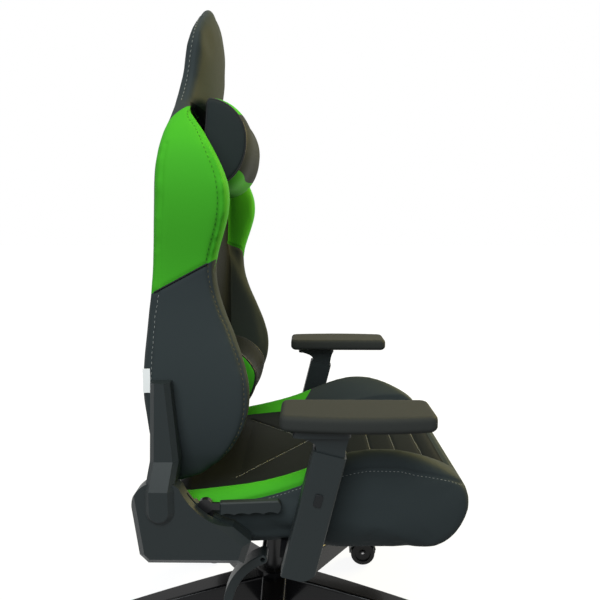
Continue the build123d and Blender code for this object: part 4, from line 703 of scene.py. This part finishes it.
def puckers(obj):
    """Short creases across the side seam where the cover turns down towards the nose."""
    tree = surface(obj)
    levels = np.linspace(*PUCKER_Y, PUCKER_COUNT)
    top = wing_top(coords(obj.data), levels)
    creases = []
    for side in SIDES:
        for y, z in zip(levels, top - strip_width(levels)):
            crease = [(y + end * PUCKER_SLANT, z + end * PUCKER_HALF) for end in (-1, 1)]
            creases.append(drape(tree, crease, X, side)[0])
    return creases


def shape_pan(obj):
    """Flattens the pan, steepens the wings' inner sides, fills the rear and lowers the front edge."""
    points = coords(obj.data)
    x = np.abs(points[:, X])
    y = points[:, Y]
    z = points[:, Z]
    upward = vertex_normals(obj.data)[:, Z] > FACING_UP
    pan = upward & (x < WING_FROM) & (z > PAN_LEAST_Z)
    flat = np.polyval(np.polyfit(y[pan], z[pan], PAN_CURVE), y)
    ridge = np.interp(y, WING_TOP_LEVELS, wing_top(points, WING_TOP_LEVELS))
    share = np.clip((x - PAN_SEAM_HALF) / (RIDGE_HALF - PAN_SEAM_HALF), 0, 1)
    steep = flat + (ridge - flat) * share**2 * (3 - 2 * share)
    wall = upward & (x < RIDGE_HALF) & (z > steep)
    firm = WALL_FIRMNESS * np.clip((y - STRIP_Y[2]) / (STRIP_Y[3] - STRIP_Y[2]), 0, 1)
    z[wall] += firm[wall] * (steep[wall] - z[wall])
    behind = np.clip((y - SEAT_REAR_Y) / (y.max() - SEAT_REAR_Y), 0, 1)
    forward = np.clip((SKIRT_Y[1] - y) / (SKIRT_Y[1] - SKIRT_Y[0]), 0, 1)
    skirt = forward * np.clip((SKIRT_Z - z) / (SKIRT_Z - z.min()), 0, 1)
    inside = upward & (x < PAN_SEAM_HALF) & (y > STRIP_Y[1])
    z[inside] += PAN_FLATNESS * (flat[inside] - z[inside])
    points[:, Z] -= SKIRT_DROP * skirt
    points[:, Y] += SEAT_REAR_FILL * behind
    set_coords(obj.data, points)


def mark_seat_panels(obj):
    """Green inner wings at the rear, and a pan darkened as painted shade, on dark grey."""
    points = coords(obj.data)
    y = points[:, Y]
    z = points[:, Z]
    outward = vertex_normals(obj.data)[:, X] * np.sign(points[:, X])
    seam_z = np.interp(y, WING_TOP_LEVELS, wing_top(points, WING_TOP_LEVELS)) - strip_width(y)
    above = np.where(outward > FACING_OUT, z - seam_z, 1)
    rear = y - GREEN_FRONT_Y + (z - GREEN_FRONT_Z) * GREEN_SLANT
    beside = np.abs(points[:, X]) - PAN_SEAM_HALF
    set_panel(obj, "accent", np.minimum.reduce([above, rear, beside]))
    # Painted shade: the pan inside its seams is darkened for the shade it lies in between the wings.
    set_panel(obj, "middle", np.minimum.reduce([-beside, z - SHADED_PAN_LEAST_Z, y - STRIP_Y[1]]))


def sew_seat(tree, lines):
    side_rows = [line for kind, line in lines if kind == "strip"]
    mesh = stitches("seat_side_thread", tree, side_rows, SIDE_THREAD_OFFSET, **SIDE_THREAD)
    place("seat_side_thread", mesh, STITCH, "seat")
    pan_rows = [line for kind, line in lines if kind in ("channel", "chevron")]
    mesh = stitches("seat_pan_thread", tree, pan_rows, 0.0, gap=PAN_THREAD_GAP)
    place("seat_pan_thread", mesh, STITCH, "seat")


def build_seat():
    obj = remeshed("seat_cushion", "seat_cover", SEAT_VOXEL, SEAT_SMOOTHING)
    shape_pan(obj)
    inflate(obj, paths_of(seat_lines(obj)), SEAM_PIN, COVER_AIR, COVER_SWELL)
    refine(obj)
    lines = seat_lines(obj)
    sink_seams(obj, paths_of(lines), SEAT_SEAM_DEPTH, SEAT_SEAM_WIDTH)
    sink_seams(obj, puckers(obj), PUCKER_DEPTH, PUCKER_WIDTH)
    mark_seat_panels(obj)
    settle(obj, "seat_cushion", "seat", LEATHER)
    sew_seat(surface(obj), lines)


# Pillows
PILLOW_VOXEL = 3.5 * MM
PILLOW_SMOOTHING = 5
PILLOW_PIN = 5 * MM
PILLOW_AIR = 3.5
PILLOW_SWELL = 6 * MM
PIPING_RADIUS = 2.2 * MM
RIM_POINTS = 120
END_PANEL_INSET = 5 * MM
HEAD_BAND_MIDDLE = 998 * MM
HEAD_BAND_HALF = 46 * MM
HEAD_BAND_SWELL = 12 * MM
HEAD_PILLOW_SAG = 0.25
LUMBAR_BELLY_Z = 550 * MM
LUMBAR_BACK_Y = 90 * MM
LUMBAR_DIP = 28 * MM
LUMBAR_TILT = 9 * MM
LUMBAR_HOLLOW = 10 * MM


def slice_loop(obj, x):
    """The outline of a piece where an upright plane across it cuts it."""
    shape = bmesh.new()
    shape.from_mesh(obj.data)
    everything = shape.verts[:] + shape.edges[:] + shape.faces[:]
    cut = bmesh.ops.bisect_plane(shape, geom=everything, plane_co=(x, 0, 0), plane_no=(1, 0, 0))
    spots = np.array([v.co for v in cut["geom_cut"] if isinstance(v, bmesh.types.BMVert)])
    shape.free()
    middle = spots.mean(axis=0)
    order = np.argsort(np.arctan2(spots[:, Z] - middle[Z], spots[:, Y] - middle[Y]))
    spots = spots[order]
    loop = np.vstack([spots, spots[:1]])
    along = lengths_along(loop)
    return at_lengths(np.linspace(0, along[-1], RIM_POINTS, endpoint=False), along, loop)


def end_rims(obj, half):
    """The seams round a pillow's two end panels."""
    return [slice_loop(obj, side * (half - END_PANEL_INSET)) for side in SIDES]


def build_pillow(node, reshape, green_of, shade_painted):
    name = node + "_cover"
    obj = remeshed(node, name, PILLOW_VOXEL, PILLOW_SMOOTHING)
    points = reshape(coords(obj.data))
    set_coords(obj.data, points)
    half = points[:, X].max()
    inflate(obj, end_rims(obj, half), PILLOW_PIN, PILLOW_AIR, PILLOW_SWELL)
    refine(obj)
    points = coords(obj.data)
    set_panel(obj, "accent", green_of(points, half))
    # Painted shade: the whole pillow can be darkened for the shade it hangs in.
    if shade_painted:
        set_panel(obj, "middle", np.ones(len(points)))
    settle(obj, node, "backrest", LEATHER)
    for rim, label in zip(end_rims(obj, half), ("right", "left")):
        mesh = piping(name + "_piping_" + label, rim, PIPING_RADIUS)
        place(name + "_piping_" + label, mesh, PIPING, "backrest")


def head_pillow_form(points):
    """Fuller below its middle, where it hangs in front of the neck."""
    low = np.minimum(points[:, Z] - HEAD_BAND_MIDDLE, 0)
    points[:, Z] += HEAD_PILLOW_SAG * low
    return points


def head_pillow_green(points, half):
    swell = HEAD_BAND_SWELL * (1 - (points[:, X] / half) ** 2)
    band = np.abs(points[:, Z] - HEAD_BAND_MIDDLE) - HEAD_BAND_HALF - swell
    inside = half - END_PANEL_INSET - np.abs(points[:, X])
    return np.minimum(band, inside)


def lumbar_pillow_form(points):
    """Thinner and lower in the middle than at its ends, and hung a little aslant."""
    across = points[:, X] / np.abs(points[:, X]).max()
    middle = 1 - across**2
    high = np.clip((points[:, Z] - LUMBAR_BELLY_Z) / (points[:, Z].max() - LUMBAR_BELLY_Z), 0, 1)
    front = np.clip((LUMBAR_BACK_Y - points[:, Y]) / (LUMBAR_BACK_Y - points[:, Y].min()), 0, 1)
    points[:, Z] -= LUMBAR_DIP * middle * high + LUMBAR_TILT * across
    points[:, Y] += LUMBAR_HOLLOW * middle * front
    return points


def lumbar_pillow_green(points, half):
    return np.abs(points[:, X]) - (half - END_PANEL_INSET)


# Arm pads
PAD_VOXEL = 2.5 * MM
PAD_SMOOTHING = 3


def build_arm_pad(label):
    node = "armrest_pad_" + label
    obj = remeshed(node, "arm_pad_cover_" + label, PAD_VOXEL, PAD_SMOOTHING)
    obj.data.shade_smooth()
    settle(obj, node, "arm_pad_" + label, PAD_RUBBER)


# Elastic strap of the head pillow, round the back of the head through the two slots
STRAP_BEND = 6 * MM
STRAP_BEND_POINTS = 7
STRAP_SLACK = 1 * MM
STRAP_CLOTH = 1.6 * MM
STRAP_STEPS = 90
STRAP_ROWS = 4


def strap_route(low, high):
    """The strap's middle line seen from above, from the pillow round the back and to the pillow again."""
    half = (high[X] - low[X]) / 2 - STRAP_SLACK
    rear = high[Y] - STRAP_SLACK
    right = [(half, low[Y])]
    for t in np.linspace(0, math.pi / 2, STRAP_BEND_POINTS):
        right.append((half - STRAP_BEND * (1 - math.cos(t)), rear - STRAP_BEND * (1 - math.sin(t))))
    left = [(-x, y) for x, y in reversed(right)]
    return np.array(right + left)


def build_strap():
    low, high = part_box("head_pillow_strap")
    route = strap_route(low, high)
    along = lengths_along(route)
    width = high[Z] - low[Z]
    shape = bmesh.new()
    bmesh.ops.create_grid(shape, x_segments=STRAP_STEPS, y_segments=STRAP_ROWS, size=0.5)
    for vert in shape.verts:
        where = (vert.co.x + 0.5) * along[-1]
        height = low[Z] + (vert.co.y + 0.5) * width
        vert.co = (*at_lengths(where, along, route), height)
    bmesh.ops.solidify(shape, geom=shape.faces[:], thickness=STRAP_CLOTH)
    bmesh.ops.recalc_face_normals(shape, faces=shape.faces)
    mesh = bpy.data.meshes.new("head_strap")
    shape.to_mesh(mesh)
    shape.free()
    mesh.shade_smooth()
    obj = place("head_strap", mesh, WEBBING, "backrest")
    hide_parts("head_pillow_strap")


# Bare woven tag sewn into the rear seam on the sitter's right
TAG_PLACE = (193 * MM, 603 * MM)
TAG_SIZE = (0.8 * MM, 12 * MM, 40 * MM)
TAG_PROBES = 5


def build_tag(tree):
    reach = []
    for height in np.linspace(-0.5, 0.5, TAG_PROBES):
        start = Vector((-1, TAG_PLACE[0] - TAG_SIZE[Y] / 2, TAG_PLACE[1] + height * TAG_SIZE[Z]))
        hit, _, _, _ = tree.ray_cast(start, Vector((1, 0, 0)))
        reach.append(hit.x)
    middle = (min(reach) - TAG_SIZE[X], *TAG_PLACE)
    size = Matrix.Diagonal((*TAG_SIZE, 1))
    shape = bmesh.new()
    bmesh.ops.create_cube(shape, size=1, matrix=Matrix.Translation(middle) @ size)
    mesh = bpy.data.meshes.new("side_tag")
    shape.to_mesh(mesh)
    shape.free()
    place("side_tag", mesh, TAG, "backrest")


for entry in frame["record"]["subparts"]:
    shown = NODES[entry["node"]].data
    shown.materials.clear()
    button = entry["node"].startswith("armrest_button")
    shown.materials.append(PIPING if button else HARD_FINISHES[entry["material_slot"]])

back_surface = build_backrest()
build_seat()
build_pillow("head_pillow", head_pillow_form, head_pillow_green, shade_painted=False)
# Painted shade: the lumbar pillow is darkened all over to sink into the shade between the backrest wings.
build_pillow("lumbar_pillow", lumbar_pillow_form, lumbar_pillow_green, shade_painted=True)
for pad in ("left", "right"):
    build_arm_pad(pad)
build_strap()
build_tag(back_surface)

# Floor, light and camera
FLOOR_HALF = 30.0
FLOOR_GREY = (0.10, 0.11, 0.13)
FLOOR_ROUGHNESS = 0.9
FLOOR_GLOW = (0.93, 1.0)
SHADOW_REACH = (0.6, 2.0)
ROOM_GREY = (0.13, 0.14, 0.14)
BACKDROP_WHITE = (1.0, 1.0, 1.0)
COOL_WHITE = (0.92, 0.98, 1.0)
DEEP_AMBER = (1.0, 0.80, 0.26)
PALE_AMBER = (1.0, 0.86, 0.40)
CAMERA_SPOT = (-1.200, -0.069, 0.847)
CAMERA_WAY = (0.9931, 0.0133, -0.1167)
CAMERA_SENSOR = 36
CAMERA_LENS = 36
CAMERA_NEAR = 20 * MM


def build_floor():
    """A pale floor that keeps the chair's shadow near it and turns white farther off."""
    shape = bmesh.new()
    bmesh.ops.create_grid(shape, x_segments=1, y_segments=1, size=FLOOR_HALF)
    mesh = bpy.data.meshes.new("floor")
    shape.to_mesh(mesh)
    shape.free()
    finish = finish_material("pale_floor", FLOOR_GREY, FLOOR_ROUGHNESS, shine=0.0)
    nodes = finish.node_tree.nodes
    links = finish.node_tree.links
    spot = nodes.new("ShaderNodeTexCoord")
    away = nodes.new("ShaderNodeVectorMath")
    away.operation = "LENGTH"
    links.new(spot.outputs["Object"], away.inputs[0])
    glow = nodes.new("ShaderNodeMapRange")
    glow.inputs["From Min"].default_value = SHADOW_REACH[0]
    glow.inputs["From Max"].default_value = SHADOW_REACH[1]
    glow.inputs["To Min"].default_value = FLOOR_GLOW[0]
    glow.inputs["To Max"].default_value = FLOOR_GLOW[1]
    links.new(away.outputs["Value"], glow.inputs["Value"])
    shader = nodes["Principled BSDF"]
    shader.inputs["Emission Color"].default_value = (*BACKDROP_WHITE, 1)
    links.new(glow.outputs["Result"], shader.inputs["Emission Strength"])
    mesh.materials.append(finish)
    floor = new_object("floor", mesh)
    floor.visible_diffuse = False


def area_light(name, spot, target, size, power, colour):
    light = bpy.data.lights.new(name, "AREA")
    light.shape = "RECTANGLE"
    light.size = size[0]
    light.size_y = size[1]
    light.energy = power
    light.color = colour
    obj = new_object(name, light)
    obj.location = spot
    obj.rotation_euler = (Vector(target) - Vector(spot)).to_track_quat("-Z", "Y").to_euler()


def build_backdrop():
    """Dim grey light from all round, and white where it is seen, mirrored or looked through to."""
    world = bpy.data.worlds.new("studio")
    scene.world = world
    world.use_nodes = True
    nodes = world.node_tree.nodes
    links = world.node_tree.links
    rays = nodes.new("ShaderNodeLightPath")
    seen = rays.outputs["Is Camera Ray"]
    for kind in ("Is Glossy Ray", "Is Transmission Ray"):
        either = nodes.new("ShaderNodeMath")
        either.operation = "MAXIMUM"
        links.new(seen, either.inputs[0])
        links.new(rays.outputs[kind], either.inputs[1])
        seen = either.outputs["Value"]
    shade = nodes.new("ShaderNodeMix")
    shade.data_type = "RGBA"
    shade.inputs[MIX_FIRST].default_value = (*ROOM_GREY, 1)
    shade.inputs[MIX_SECOND].default_value = (*BACKDROP_WHITE, 1)
    links.new(seen, shade.inputs[MIX_FACTOR])
    links.new(shade.outputs[MIX_RESULT], nodes["Background"].inputs["Color"])


def build_camera():
    data = bpy.data.cameras.new("camera")
    data.sensor_width = CAMERA_SENSOR
    data.lens = CAMERA_LENS
    data.clip_start = CAMERA_NEAR
    camera = new_object("camera", data)
    camera.location = CAMERA_SPOT
    camera.rotation_euler = Vector(CAMERA_WAY).to_track_quat("-Z", "Y").to_euler()
    scene.camera = camera


build_floor()
area_light("side_light", (-2.5, 0.4, 2.6), (0, 0, 0.8), (2.2, 2.0), 105, COOL_WHITE)
area_light("rim_light", (1.6, -2.4, 1.9), (0, -0.1, 0.8), (1.6, 1.4), 130, DEEP_AMBER)
area_light("top_light", (0.0, -0.4, 3.2), (0, -0.1, 0.5), (1.6, 1.6), 34, PALE_AMBER)
build_backdrop()
build_camera()
scene.view_settings.view_transform = "Standard"
